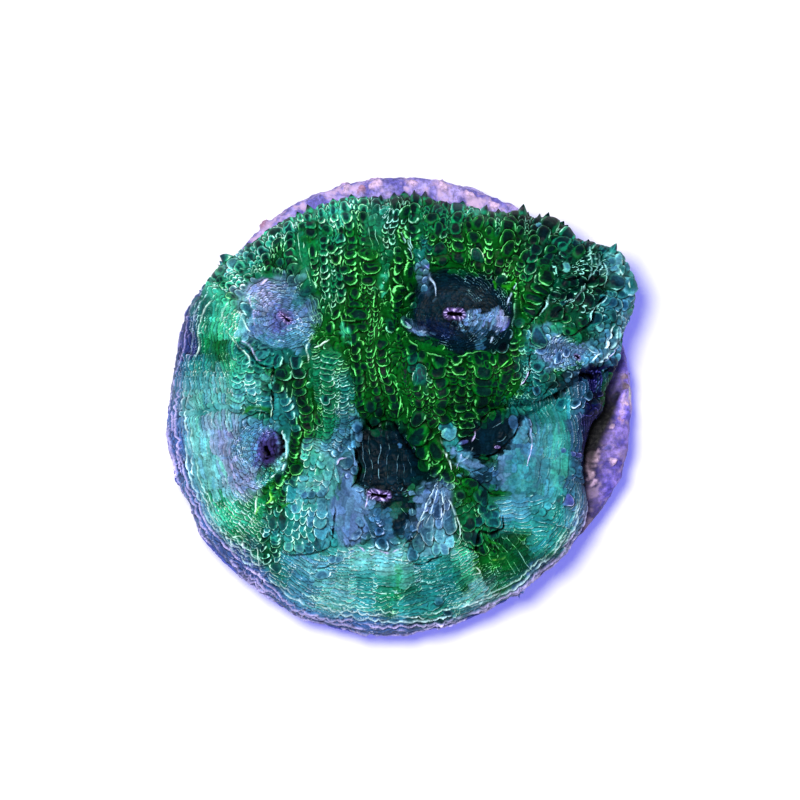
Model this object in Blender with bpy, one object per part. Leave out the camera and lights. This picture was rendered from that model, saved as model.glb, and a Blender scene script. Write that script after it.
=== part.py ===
"""An acan coral colony on a round frag disc: the encrusted disc, and the one-piece colony grown over it.

Metres, +Z up. The origin is the centre of the disc's flat underside. The sizes below are in millimetres,
and mesh_object turns them into metres.
"""

import math

import bpy
import numpy as np

MM = 0.001

# Driving dimensions, in millimetres
DISC_RADIUS = 18.3
DISC_THICKNESS = 5.0
DISC_TOP_ROUNDING = 1.0
DISC_FOOT_ROUNDING = 0.5
CRUST_THICKNESS = 0.65
BARE_DIRECTION = 45.0
BARE_HALF_TURN = 93.0
BARE_FADE = 5.0
CONTACT_GAP = 0.3
GENERAL_HEIGHT = 9.6

COLUMNS = 100
TOP_RINGS = 24
ROUNDING_STEPS = 4

# The colony's outline seen from above: direction in degrees from +X, and distance from the disc's axis
OUTLINE = (
    (0, 16.4), (5, 16.9), (13, 18.2), (19, 19.3), (24, 20.9), (30, 21.8), (36, 21.9), (43, 20.5),
    (50, 19.9), (60, 18.9), (70, 17.9), (82, 17.5), (95, 17.6), (108, 17.9), (122, 18.0), (133, 18.3),
    (143, 18.9), (152, 19.3), (162, 19.2), (172, 18.8), (182, 19.0), (200, 19.1), (216, 19.1),
    (230, 18.8), (245, 19.0), (262, 19.0), (278, 18.8), (290, 18.4), (305, 18.0), (318, 18.1),
    (327, 17.9), (334, 17.2), (341, 15.8), (352, 15.6),
)

# What the margin does round the outline: direction in degrees, height of the margin's outermost point,
# height of its lower edge where it stays above the disc, and how squarely the flesh stands up behind it
MARGIN = (
    (0, 7.0, 6.2, 8.0), (20, 7.6, 6.8, 9.0), (33, 8.2, 6.9, 9.0), (50, 7.4, 6.4, 10.0),
    (70, 6.2, 5.6, 10.0), (100, 6.0, 5.6, 9.0), (130, 5.9, 5.6, 7.0), (150, 4.8, 5.4, 4.5),
    (180, 4.5, 5.4, 3.8), (270, 4.5, 5.4, 3.8), (295, 4.9, 5.4, 4.2), (315, 6.0, 5.6, 5.5),
    (340, 6.8, 6.1, 7.0),
)
SKIRT_DROP = 1.7
SKIRT_THICKNESS = 0.2
UNDERCUT = 1.2
LEAST_EDGE = 0.5

# Broad swellings of the colony: centre, half-widths, rise
SWELLINGS = (
    (4.5, 8.0, 10.0, 7.5, 2.9),
    (-9.5, 7.5, 6.5, 5.5, 0.8),
    (1.5, 2.0, 6.5, 4.0, 1.3),
    (13.5, 4.5, 4.0, 4.5, 0.6),
)

# Walls where two polyps meet: start, end, half-width, rise at the start and at the end
WALLS = (
    ((-2.6, 12.0), (-2.2, 1.0), 2.4, 1.0, 0.9),
    ((-8.0, 3.0), (-8.2, -5.0), 2.1, 1.0, 0.5),
    ((-8.2, -5.0), (-10.5, -12.0), 2.0, 0.5, 0.0),
    ((3.4, 0.5), (4.6, -6.0), 2.0, 1.2, 1.0),
    ((4.6, -6.0), (8.2, -14.0), 2.2, 1.0, 0.0),
    ((-17.0, 2.0), (-8.0, 2.4), 2.0, 0.1, 0.8),
)

# Sunken oral discs: centre, half-length, half-width, turn in degrees, depth
ORAL_DISCS = (
    (-9.7, 7.4, 3.4, 3.0, -30.0, 2.0),
    (4.7, 7.9, 4.9, 3.8, 0.0, 3.0),
    (-11.6, -3.9, 3.4, 2.8, 80.0, 1.8),
    (-1.5, -6.4, 5.2, 4.0, 90.0, 2.3),
    (9.4, -3.6, 5.0, 3.6, -20.0, 1.3),
    (13.8, 4.2, 2.1, 1.9, 0.0, 1.0),
)

DISC_COLOUR = (0.16, 0.11, 0.26, 1.0)
COLONY_COLOUR = (0.02, 0.22, 0.14, 1.0)


def round_the_clock(table, degrees):
    """The table's columns at the given directions: a smooth closed curve through its rows."""
    table = np.array(table, float)
    angle = np.concatenate([table[:, 0] - 360.0, table[:, 0], table[:, 0] + 360.0])
    value = np.tile(table[:, 1:], (3, 1))
    slope = np.gradient(value, angle, axis=0)
    degrees = np.mod(degrees, 360.0)
    row = np.searchsorted(angle, degrees, side="right") - 1
    span = angle[row + 1] - angle[row]
    t = ((degrees - angle[row]) / span)[..., None]
    span = span[..., None]
    return (
        (1 + 2 * t) * (1 - t) ** 2 * value[row]
        + t * (1 - t) ** 2 * span * slope[row]
        + t**2 * (3 - 2 * t) * value[row + 1]
        + t**2 * (t - 1) * span * slope[row + 1]
    )


def swelling(x, y, centre_x, centre_y, half_x, half_y, rise):
    """A bell-shaped rise."""
    return rise * np.exp(-(((x - centre_x) / half_x) ** 2) - ((y - centre_y) / half_y) ** 2)


def wall(x, y, start, end, half_width, rise_start, rise_end):
    """A rise along the line from start to end, bell-shaped across it."""
    along = np.subtract(end, start)
    t = ((x - start[0]) * along[0] + (y - start[1]) * along[1]) / (along @ along)
    t = np.clip(t, 0.0, 1.0)
    away = np.hypot(x - start[0] - t * along[0], y - start[1] - t * along[1])
    return (rise_start + t * (rise_end - rise_start)) * np.exp(-((away / half_width) ** 2))


def bowl(x, y, centre_x, centre_y, half_length, half_width, turn, depth):
    """A flat-bottomed elliptical hollow."""
    c, s = math.cos(math.radians(turn)), math.sin(math.radians(turn))
    u = ((x - centre_x) * c + (y - centre_y) * s) / half_length
    v = ((y - centre_y) * c - (x - centre_x) * s) / half_width
    return depth * np.exp(-((u * u + v * v) ** 2))


def flesh_height(x, y):
    """Height of the flesh away from the margin: the general height, swellings and walls, less the bowls."""
    height = np.full(np.shape(x), GENERAL_HEIGHT)
    for row in SWELLINGS:
        height = height + swelling(x, y, *row)
    for row in WALLS:
        height = height + wall(x, y, *row)
    for row in ORAL_DISCS:
        height = height - bowl(x, y, *row)
    return height


def bare_share(degrees):
    """1 where the disc's rim is bare and encrusted, 0 where the flesh covers it."""
    turned = np.mod(degrees - BARE_DIRECTION + 180.0, 360.0) - 180.0
    return 1.0 / (1.0 + np.exp((np.abs(turned) - BARE_HALF_TURN) / BARE_FADE))


def disc_radius(degrees):
    return DISC_RADIUS + CRUST_THICKNESS * bare_share(degrees)


def mesh_object(name, rings, colour, roughness):
    """A closed body from rings of (columns, 3) points in millimetres, listed from its top centre down its
    outside and back along its underside, with a fan at each end."""
    count = rings[0].shape[0]
    first, last = rings[0].mean(axis=0), rings[-1].mean(axis=0)
    points = np.concatenate([first[None], *rings, last[None]]) * MM
    faces = []
    for k in range(count):
        after = (k + 1) % count
        faces.append((0, 1 + k, 1 + after))
        for ring in range(len(rings) - 1):
            near, far = 1 + ring * count, 1 + (ring + 1) * count
            faces.append((near + k, far + k, far + after, near + after))
        end = 1 + (len(rings) - 1) * count
        faces.append((end + k, len(points) - 1, end + after))
    mesh = bpy.data.meshes.new(name)
    mesh.from_pydata(points.tolist(), [], faces)
    mesh.shade_smooth()
    mesh.set_sharp_from_angle(angle=math.radians(50))
    obj = bpy.data.objects.new(name, mesh)
    bpy.context.scene.collection.objects.link(obj)
    material = bpy.data.materials.new(name)
    material.use_nodes = True
    shader = material.node_tree.nodes["Principled BSDF"]
    shader.inputs["Base Color"].default_value = colour
    shader.inputs["Roughness"].default_value = roughness
    shader.inputs["Metallic"].default_value = 0.0
    mesh.materials.append(material)
    return obj


def ring_at(radius, height, angle):
    """A ring of points at a radius and a height, each one number or one for each direction."""
    height = np.broadcast_to(height, angle.shape)
    return np.stack([radius * np.cos(angle), radius * np.sin(angle), height], axis=1)


def add_disc(angle):
    """The frag disc: a cast disc with rounded edges and a flat underside, wider by its crust on the bare side."""
    radius = disc_radius(np.degrees(angle))
    rings = [ring_at(radius * 0.55, DISC_THICKNESS, angle)]
    for step in range(ROUNDING_STEPS + 1):
        turn = 0.5 * math.pi * step / ROUNDING_STEPS
        inset = DISC_TOP_ROUNDING * (1 - math.sin(turn))
        drop = DISC_TOP_ROUNDING * (1 - math.cos(turn))
        rings.append(ring_at(radius - inset, DISC_THICKNESS - drop, angle))
    for step in range(ROUNDING_STEPS - 1):
        turn = 0.5 * math.pi * step / (ROUNDING_STEPS - 2)
        inset = DISC_FOOT_ROUNDING * (1 - math.cos(turn))
        rise = DISC_FOOT_ROUNDING * (1 - math.sin(turn))
        rings.append(ring_at(radius - inset, rise, angle))
    return mesh_object("frag_disc", rings, DISC_COLOUR, 0.85)


def between(share, start, end):
    """start where the share is 0, end where it is 1."""
    return start + share * (end - start)


def add_colony(angle):
    """The colony: its upper surface out to the margin, the margin's edge, and the underside 0.3 mm clear of
    the disc. Where the outline reaches past the disc, the margin hangs over its rim as a skirt."""
    degrees = np.degrees(angle)
    outline = round_the_clock(OUTLINE, degrees)[:, 0]
    outermost, lower_edge, squareness = round_the_clock(MARGIN, degrees).T
    underside = DISC_THICKNESS + CONTACT_GAP
    clear = disc_radius(degrees) + CONTACT_GAP
    on_foot = outermost < underside
    skirt = np.clip((outline - clear - SKIRT_THICKNESS) / SKIRT_THICKNESS, 0.0, 1.0) * on_foot
    outermost = np.where(on_foot, between(skirt, underside + LEAST_EDGE, outermost), outermost)

    rings = []
    for step in range(1, TOP_RINGS + 1):
        share = math.sin(0.5 * math.pi * step / TOP_RINGS) if step < TOP_RINGS else 1.0
        radius = outline * share
        height = flesh_height(radius * np.cos(angle), radius * np.sin(angle))
        standing = np.sqrt(1 - share**squareness)
        rings.append(ring_at(radius, between(standing, outermost, height), angle))

    # From the outermost point under the edge and in to where the flat underside starts. Each place is given
    # for a free edge and for a skirt, which goes round the disc's rounded rim.
    tucked = np.minimum(outline - UNDERCUT, clear - DISC_TOP_ROUNDING)
    lowest = between(skirt, np.maximum(lower_edge, underside + 0.1), underside - SKIRT_DROP)
    inner = between(skirt, between(0.3, outline, tucked), clear)
    rim_bend = clear - 0.25 * DISC_TOP_ROUNDING
    rim_bend_height = underside - 0.3 * DISC_TOP_ROUNDING
    bend = between(skirt, between(0.7, outline, tucked), rim_bend)
    bend_height = between(skirt, between(0.2, underside, lowest), rim_bend_height)
    rings.append(ring_at(between(0.4, outline, inner), lowest, angle))
    rings.append(ring_at(inner, lowest + skirt * SKIRT_THICKNESS, angle))
    rings.append(ring_at(bend, bend_height, angle))
    rings.append(ring_at(tucked, underside, angle))
    return mesh_object("coral_colony", rings, COLONY_COLOUR, 0.35)


def main():
    for obj in list(bpy.data.objects):
        bpy.data.objects.remove(obj, do_unlink=True)
    angle = np.arange(COLUMNS) * (2 * math.pi / COLUMNS)
    add_disc(angle)
    add_colony(angle)


main()
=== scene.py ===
"""An acan coral colony on an encrusted frag disc: six polyps in one fleshy mass, covered in rows of vesicles.

Sizes in the tables are millimetres and colours are sRGB, 0 to 255. Meshes are written in metres. The colony's
skin is worked out once on a grid, and everything on it, vesicles, folds, fringe and mouths, is a height and a
colour at each of the grid's points.
"""

import math

import bpy
import numpy as np
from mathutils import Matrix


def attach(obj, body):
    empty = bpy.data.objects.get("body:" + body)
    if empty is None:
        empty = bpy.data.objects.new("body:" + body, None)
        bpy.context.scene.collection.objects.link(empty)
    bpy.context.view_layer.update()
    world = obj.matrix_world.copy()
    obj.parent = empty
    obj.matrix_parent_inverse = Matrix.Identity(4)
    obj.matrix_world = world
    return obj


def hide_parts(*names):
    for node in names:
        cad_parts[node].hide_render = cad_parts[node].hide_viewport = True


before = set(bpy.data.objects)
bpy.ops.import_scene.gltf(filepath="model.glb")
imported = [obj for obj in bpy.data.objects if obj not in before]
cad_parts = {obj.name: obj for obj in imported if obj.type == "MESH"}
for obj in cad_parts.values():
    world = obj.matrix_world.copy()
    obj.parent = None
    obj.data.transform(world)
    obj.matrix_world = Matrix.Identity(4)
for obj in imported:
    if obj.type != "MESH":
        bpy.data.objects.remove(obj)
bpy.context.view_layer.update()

bl_info = {
    "name": "Acan coral on a frag disc",
    "version": (1, 0, 0),
    "blender": (4, 5, 0),
    "location": "View3D > Sidebar > Coral",
    "description": "Builds a fleshy coral colony with its vesicles, polyps, margin and encrusted disc",
    "category": "Add Mesh",
}

MM = 0.001

# ---------------------------------------------------------------------------------------------------------
# Colours
# ---------------------------------------------------------------------------------------------------------

PAINT = {
    "green_core": (2, 46, 44),
    "green": (2, 100, 26),
    "green_edge": (106, 226, 124),
    "lime": (30, 142, 14),
    "lime_edge": (138, 240, 96),
    "sea_core": (2, 38, 50),
    "sea": (4, 88, 62),
    "sea_edge": (150, 232, 214),
    "leaf_core": (2, 52, 56),
    "leaf": (14, 138, 92),
    "leaf_edge": (192, 255, 236),
    "mint_core": (12, 96, 98),
    "mint": (62, 200, 164),
    "mint_edge": (220, 255, 246),
    "teal_core": (6, 64, 84),
    "teal": (24, 126, 124),
    "teal_edge": (170, 236, 240),
    "aqua_core": (24, 112, 130),
    "aqua": (44, 156, 158),
    "aqua_edge": (196, 250, 246),
    "pale_core": (78, 152, 180),
    "pale": (110, 198, 204),
    "ice": (214, 244, 252),
    "sky_core": (40, 104, 150),
    "sky": (84, 156, 192),
    "sky_edge": (200, 236, 250),
    "blue_core": (56, 96, 156),
    "blue": (98, 140, 190),
    "blue_edge": (184, 214, 250),
    "haze_core": (108, 130, 190),
    "haze": (140, 158, 212),
    "haze_edge": (214, 206, 250),
    "iris": (88, 96, 176),
    "slate_core": (26, 66, 100),
    "slate": (54, 108, 148),
    "dark_core": (0, 16, 32),
    "dark": (2, 36, 52),
    "dark_edge": (104, 150, 166),
    "navy_core": (18, 28, 100),
    "navy": (78, 106, 192),
    "night_core": (4, 8, 46),
    "night": (14, 20, 80),
    "violet": (92, 92, 190),
    "lilac": (206, 192, 252),
    "grape_core": (22, 80, 78),
    "grape": (18, 104, 84),
    "rust_core": (30, 72, 66),
    "rust": (20, 96, 72),
    "lip": (126, 104, 176),
    "lip_edge": (196, 168, 226),
    # mouth and black are painted shade: the dark of the mouths' openings and throats, crevices and the gap
    # under the flesh
    "mouth": (6, 6, 34),
    "black": (1, 2, 8),
    "crust": (184, 168, 240),
    "crust_dark": (104, 98, 184),
    "crust_brown": (190, 140, 180),
    "crust_pink": (230, 196, 240),
    "crust_bright": (252, 214, 250),
    "ceramic": (126, 124, 146),
}

# The three colours of each kind of flesh: the middle of a vesicle, the flesh round it, and its edge
FLESH = {
    "green": ("green_core", "green", "green_edge"),
    "lime": ("green_core", "lime", "lime_edge"),
    "sea": ("sea_core", "sea", "sea_edge"),
    "leaf": ("leaf_core", "leaf", "leaf_edge"),
    "mint": ("mint_core", "mint", "mint_edge"),
    "teal": ("teal_core", "teal", "teal_edge"),
    "aqua": ("aqua_core", "aqua", "aqua_edge"),
    "pale": ("pale_core", "pale", "ice"),
    "sky": ("sky_core", "sky", "sky_edge"),
    "blue": ("blue_core", "blue", "blue_edge"),
    "haze": ("haze_core", "haze", "haze_edge"),
    "slate": ("slate_core", "slate", "blue_edge"),
    "dark": ("dark_core", "dark", "dark_edge"),
    "navy": ("navy_core", "navy", "lilac"),
    "night": ("night_core", "night", "violet"),
    "violet": ("violet", "violet", "lilac"),
    "iris": ("night", "iris", "lilac"),
    "grape": ("grape_core", "grape", "mint_edge"),
    "rust": ("rust_core", "rust", "ice"),
}

# Soft patches of flesh laid over the green of the whole colony, later rows over earlier ones:
# centre, half-length, half-width, turn in degrees, softness, strength, kind of flesh
ZONES = (
    # crown, from the left round the upper edge
    (-12.0, 12.4, 4.8, 2.6, 50, 0.9, 1.0, "leaf"),
    (-6.4, 14.6, 5.0, 3.0, 20, 0.9, 0.8, "leaf"),
    (-14.0, 10.6, 1.1, 2.8, 35, 0.8, 1.0, "mint"),
    (-11.4, 14.4, 3.2, 1.1, 42, 0.8, 0.9, "mint"),
    (-12.4, 12.2, 1.4, 1.0, 42, 0.8, 0.7, "teal"),
    (-14.0, 12.4, 1.8, 0.9, 52, 0.8, 0.9, "pale"),
    (-8.0, 16.2, 2.8, 1.1, 22, 0.8, 0.9, "mint"),
    (-4.6, 16.4, 2.6, 1.6, 8, 0.8, 1.0, "mint"),
    (-1.9, 16.0, 1.6, 1.8, 0, 0.8, 1.0, "mint"),
    (-9.4, 12.3, 1.8, 1.0, 20, 0.8, 0.8, "green"),
    (-6.9, 13.4, 0.5, 2.4, 5, 0.8, 0.8, "green"),
    (-3.9, 12.0, 0.8, 3.6, -4, 0.8, 0.9, "green"),
    (-5.6, 9.6, 0.9, 2.0, -5, 0.8, 0.8, "leaf"),
    (-4.7, 7.6, 0.6, 2.2, 5, 0.8, 0.8, "green"),
    (-2.2, 15.2, 0.7, 2.2, 0, 0.8, 0.8, "sea"),
    (-1.0, 12.8, 0.6, 3.4, -3, 0.8, 0.6, "leaf"),
    (0.4, 15.4, 1.4, 2.2, 0, 0.8, 0.9, "sea"),
    (1.4, 12.9, 0.7, 1.2, 10, 0.8, 0.8, "teal"),
    (3.4, 16.0, 2.4, 1.4, 0, 0.9, 0.8, "leaf"),
    (7.2, 15.8, 2.2, 1.0, -10, 0.9, 0.8, "leaf"),
    (5.6, 16.6, 1.8, 0.6, -10, 0.8, 0.8, "mint"),
    (10.2, 15.6, 1.6, 1.2, -20, 0.8, 0.9, "sea"),
    (11.6, 15.2, 0.7, 0.5, 0, 0.8, 0.7, "teal"),
    (13.6, 12.6, 3.4, 2.4, -35, 0.9, 1.0, "sea"),
    (14.0, 13.8, 2.2, 1.0, -38, 0.8, 0.9, "leaf"),
    (15.4, 13.2, 2.4, 1.1, -38, 0.8, 0.9, "teal"),
    (15.4, 9.6, 3.6, 3.4, 0, 0.9, 1.0, "sea"),
    (17.2, 11.8, 1.8, 1.3, -40, 0.8, 0.9, "teal"),
    (17.8, 12.2, 0.9, 0.7, -40, 0.8, 0.8, "aqua"),
    (17.9, 11.6, 1.1, 1.3, -40, 0.8, 0.9, "pale"),
    (18.6, 9.8, 1.2, 2.8, 0, 0.8, 0.9, "pale"),
    (17.6, 8.2, 1.4, 1.2, -10, 0.8, 0.7, "aqua"),
    (18.4, 7.4, 1.2, 1.8, 0, 0.8, 1.0, "sky"),
    (16.6, 7.2, 1.2, 1.2, 0, 0.8, 0.8, "teal"),
    (12.0, 9.0, 1.0, 2.4, -25, 0.8, 0.8, "sea"),
    (10.6, 11.4, 0.6, 1.4, 0, 0.8, 0.6, "leaf"),
    # left margin above the band of pale flesh
    (-16.2, 6.5, 2.2, 1.8, 0, 0.8, 1.0, "leaf"),
    (-15.8, 4.2, 1.8, 0.8, 10, 0.9, 0.7, "sea"),
    (-14.6, 8.0, 1.2, 2.6, 22, 0.7, 1.0, "mint"),
    (-13.4, 6.6, 1.0, 1.6, 25, 0.8, 0.9, "mint"),
    (-12.8, 4.2, 1.8, 1.1, 0, 0.8, 0.9, "teal"),
    (-16.2, 8.2, 0.9, 1.6, -15, 0.8, 0.8, "teal"),
    (-17.6, 8.8, 1.2, 2.6, -25, 0.7, 0.9, "night"),
    (-18.2, 4.0, 1.4, 3.0, 0, 0.8, 0.9, "night"),
    (-18.4, 6.4, 0.5, 1.4, -10, 0.8, 0.7, "navy"),
    # left skirt
    (-14.6, 1.5, 3.8, 1.5, -14, 0.8, 1.0, "pale"),
    (-16.7, 3.6, 0.9, 0.7, 25, 0.9, 0.8, "aqua"),
    (-14.4, 3.0, 0.9, 0.8, -20, 0.9, 0.8, "leaf"),
    (-12.4, 2.0, 2.0, 1.4, 0, 0.8, 0.8, "mint"),
    (-14.4, 0.6, 1.8, 0.6, 10, 0.8, 0.7, "mint"),
    (-13.2, 3.2, 1.4, 0.9, 0, 0.8, 0.9, "mint"),
    (-16.2, -3.6, 4.4, 5.2, 0, 0.6, 1.0, "pale"),
    (-18.9, -1.6, 1.3, 5.2, 2, 0.8, 0.7, "blue"),
    (-14.4, -0.4, 2.4, 0.9, 15, 0.8, 0.8, "aqua"),
    (-14.2, -2.0, 1.4, 1.2, 0, 0.8, 0.9, "haze"),
    (-13.6, -5.0, 1.5, 3.2, 12, 0.8, 0.9, "haze"),
    (-16.4, -7.6, 2.6, 1.8, -40, 0.8, 0.9, "pale"),
    (-13.6, -8.6, 2.4, 1.4, -45, 0.8, 1.0, "mint"),
    (-15.2, -7.2, 0.7, 1.0, 0, 0.8, 0.8, "leaf"),
    (-12.2, -8.4, 1.4, 0.9, -60, 0.8, 0.9, "leaf"),
    (-13.2, -10.3, 2.0, 1.0, -45, 0.8, 0.9, "leaf"),
    (-11.2, -11.6, 1.4, 2.2, -15, 0.8, 0.9, "leaf"),
    (-11.0, -11.6, 0.5, 1.4, 0, 0.8, 0.9, "green"),
    (-12.7, -12.2, 0.8, 1.6, -25, 0.8, 0.9, "navy"),
    # polyp C
    (-11.9, -2.6, 2.0, 2.3, 0, 0.6, 0.9, "sky"),
    (-11.0, -3.3, 1.4, 1.8, -15, 0.5, 1.0, "iris"),
    (-10.8, -3.6, 0.9, 1.2, 0, 0.7, 0.9, "night"),
    (-9.4, -3.8, 0.5, 2.2, -5, 0.7, 1.0, "pale"),
    (-11.4, 0.6, 2.2, 1.0, 5, 0.8, 0.9, "aqua"),
    (-11.6, -0.4, 1.5, 0.4, 5, 0.7, 0.7, "leaf"),
    (-10.7, -5.9, 1.4, 0.5, 20, 0.8, 0.8, "aqua"),
    # between polyps A, C and D
    (-9.4, 2.6, 1.1, 1.5, 0, 0.8, 0.8, "sea"),
    (-10.0, 4.4, 1.2, 1.0, 0, 0.8, 0.8, "teal"),
    (-8.0, 4.8, 1.2, 0.9, 0, 0.8, 0.8, "teal"),
    (-6.2, 3.4, 1.3, 1.7, 10, 0.8, 0.9, "leaf"),
    (-5.4, 0.6, 1.3, 2.2, 10, 0.8, 0.9, "leaf"),
    (-4.9, 0.6, 0.6, 1.6, 10, 0.8, 0.7, "teal"),
    (-7.7, -0.6, 0.9, 2.4, 0, 0.7, 1.0, "green"),
    (-7.1, -2.2, 0.5, 1.2, 0, 0.7, 0.7, "lime"),
    (-9.6, 0.0, 1.0, 1.4, 0, 0.8, 0.9, "aqua"),
    (-9.4, -1.6, 0.6, 0.9, 0, 0.8, 0.9, "teal"),
    (-8.5, -4.6, 0.9, 2.2, -12, 0.7, 1.0, "green"),
    (-9.8, -6.6, 1.0, 1.2, 0, 0.8, 0.7, "lime"),
    (-10.0, -8.2, 1.4, 1.2, 0, 0.8, 0.8, "leaf"),
    (-10.0, -10.0, 1.2, 1.4, 0, 0.8, 0.9, "aqua"),
    (-6.2, -1.8, 1.2, 1.2, 0, 0.8, 0.9, "leaf"),
    (-6.2, -4.2, 1.5, 1.5, 20, 0.7, 1.0, "pale"),
    (-6.9, -4.6, 0.8, 1.2, 0, 0.8, 0.8, "mint"),
    (-4.4, -2.6, 1.4, 2.6, -8, 0.6, 1.0, "sky"),
    (-5.0, -0.6, 0.7, 0.7, 0, 0.8, 0.7, "slate"),
    (-7.2, -8.6, 2.0, 3.8, -6, 0.5, 1.0, "aqua"),
    (-6.6, -6.4, 1.4, 1.2, -6, 0.8, 0.7, "pale"),
    (-6.4, -9.8, 0.9, 2.4, -6, 0.8, 0.8, "sky"),
    # lower skirt
    (-6.0, -14.2, 4.8, 3.8, -12, 0.6, 1.0, "aqua"),
    (-7.4, -13.0, 2.2, 1.2, -10, 0.8, 0.8, "sky"),
    (-6.0, -15.4, 3.0, 2.0, -15, 0.8, 0.7, "pale"),
    (-8.6, -14.8, 1.6, 1.0, -30, 0.8, 0.7, "slate"),
    (-1.4, -12.6, 3.4, 1.4, 0, 0.8, 1.0, "pale"),
    (-2.6, -15.0, 1.4, 2.4, 0, 0.8, 0.8, "aqua"),
    (-1.0, -14.8, 0.8, 1.8, 0, 0.8, 0.9, "leaf"),
    (0.4, -16.4, 1.4, 0.9, 0, 0.8, 0.8, "aqua"),
    (2.6, -14.0, 2.4, 2.8, 5, 0.8, 1.0, "teal"),
    (2.2, -16.4, 1.4, 1.0, 5, 0.8, 0.8, "aqua"),
    (2.2, -12.6, 1.6, 0.9, 5, 0.8, 0.9, "aqua"),
    (4.0, -16.0, 1.4, 0.9, 15, 0.8, 0.7, "aqua"),
    (5.6, -12.4, 0.8, 2.0, 22, 0.8, 1.0, "mint"),
    (6.4, -15.4, 1.8, 0.9, 30, 0.8, 0.8, "pale"),
    (8.8, -12.4, 1.2, 3.0, 38, 0.9, 0.8, "sea"),
    (7.6, -12.0, 0.6, 2.2, 34, 0.9, 0.8, "green"),
    (8.4, -14.0, 1.6, 1.0, 30, 0.8, 0.8, "sea"),
    (10.8, -12.2, 1.6, 1.2, 38, 0.8, 0.8, "sea"),
    (11.4, -12.8, 1.4, 0.6, 38, 0.8, 0.7, "slate"),
    # right lobes
    (10.6, -8.6, 3.6, 1.9, 0, 0.6, 1.0, "aqua"),
    (9.0, -8.0, 1.4, 1.2, 0, 0.8, 0.8, "sky"),
    (13.0, -9.8, 2.4, 1.2, 38, 0.8, 0.9, "aqua"),
    (14.4, -8.6, 1.2, 1.6, 20, 0.8, 0.8, "blue"),
    (12.6, -2.8, 1.8, 4.8, 0, 0.6, 1.0, "aqua"),
    (12.7, -3.4, 0.6, 2.8, 3, 0.8, 0.5, "mint"),
    (9.8, -4.6, 1.6, 2.4, 0, 0.7, 0.9, "slate"),
    (10.7, -3.4, 0.6, 2.8, 0, 0.7, 0.9, "sky"),
    (10.2, -1.6, 0.9, 1.2, 0, 0.8, 0.8, "slate"),
    (13.2, 0.5, 2.0, 1.0, 15, 0.8, 1.0, "aqua"),
    (11.8, 0.0, 1.1, 1.1, 0, 0.8, 1.0, "teal"),
    (11.0, 1.4, 1.4, 1.2, 20, 0.8, 0.9, "teal"),
    (13.6, 1.9, 1.6, 0.7, 25, 0.8, 0.9, "dark"),
    (14.4, -2.6, 1.0, 5.0, 0, 0.8, 1.0, "slate"),
    # night here is painted shadow, down the flesh's right edge over the gap beneath it
    (15.6, -2.0, 1.0, 5.4, 0, 0.6, 1.0, "night"),
    (14.2, -6.0, 1.1, 1.4, 0, 0.8, 0.9, "slate"),
    # night here is painted shadow under the overhanging far lobe
    (16.2, 2.4, 1.8, 0.9, 30, 0.6, 1.0, "night"),
    # round the far polyp
    (11.0, 3.6, 1.2, 1.7, 0, 0.8, 0.9, "teal"),
    (10.9, 5.3, 0.8, 1.2, 10, 0.8, 0.7, "teal"),
    (13.5, 4.5, 2.4, 1.4, 5, 0.6, 1.0, "blue"),
    (14.4, 4.2, 0.9, 0.7, 0, 0.8, 0.7, "slate"),
    (16.4, 4.8, 1.8, 1.2, 45, 0.7, 1.0, "sky"),
    (12.4, 6.1, 1.5, 0.6, 0, 0.8, 0.9, "sky"),
    (13.6, 6.6, 1.0, 0.6, 20, 0.8, 0.8, "leaf"),
    (16.2, 5.8, 0.6, 0.5, 0, 0.8, 0.7, "sea"),
    # polyp A
    (-10.0, 7.7, 3.0, 2.7, -30, 0.5, 1.0, "blue"),
    (-11.6, 9.2, 1.8, 1.2, 15, 0.8, 0.9, "haze"),
    (-8.2, 9.0, 1.2, 0.6, 60, 0.8, 0.7, "teal"),
    (-10.6, 5.6, 1.2, 0.6, 10, 0.8, 0.7, "teal"),
    (-12.6, 8.0, 0.6, 1.6, 10, 0.7, 0.9, "pale"),
    (-9.7, 7.4, 1.2, 1.0, -30, 0.8, 0.8, "iris"),
    (-8.2, 6.2, 1.0, 1.2, 20, 0.8, 0.8, "sky"),
    (-9.6, 5.4, 1.4, 0.8, -10, 0.7, 0.8, "sky"),
    # polyp B
    (5.0, 7.9, 4.4, 3.5, 0, 0.25, 1.0, "dark"),
    (2.9, 6.6, 1.6, 1.1, -10, 0.9, 0.5, "night"),
    (6.7, 6.9, 1.7, 0.65, -14, 0.5, 1.0, "blue"),
    (8.0, 6.8, 0.4, 0.6, -20, 0.6, 0.8, "haze"),
    (1.5, 6.6, 1.1, 0.35, -15, 0.6, 0.8, "blue"),
    (2.2, 10.7, 0.5, 1.3, 20, 0.8, 0.6, "blue"),
    # polyp D
    (-1.1, -4.4, 2.4, 3.4, 0, 0.3, 1.0, "dark"),
    (-4.0, -8.6, 1.6, 2.8, 0, 0.4, 1.0, "blue"),
    (-4.5, -5.0, 0.7, 1.2, 0, 0.5, 1.0, "blue"),
    (-1.6, -9.6, 1.2, 1.9, 0, 0.7, 1.0, "slate"),
    (0.4, -8.9, 0.9, 1.9, 0, 0.6, 1.0, "dark"),
    (0.6, -10.6, 0.8, 1.0, -10, 0.8, 0.6, "slate"),
    (2.8, -9.0, 1.7, 2.9, -4, 0.4, 1.0, "blue"),
    (3.2, -11.0, 1.3, 0.9, 0, 0.8, 0.7, "pale"),
    # polyp E
    (7.2, -2.5, 2.6, 1.8, 15, 0.3, 1.0, "dark"),
    (9.2, -1.3, 1.2, 1.2, 0, 0.8, 0.7, "dark"),
    (6.7, -5.6, 1.4, 0.9, -10, 0.6, 0.9, "slate"),
    (6.3, -5.9, 0.9, 0.6, 0, 0.6, 0.8, "dark"),
    (9.2, -5.1, 1.8, 1.5, 0, 0.6, 1.0, "blue"),
    (8.2, -4.0, 1.2, 0.7, -10, 0.6, 0.8, "sky"),
    (10.0, -3.0, 0.6, 1.2, 0, 0.7, 0.9, "sky"),
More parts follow.
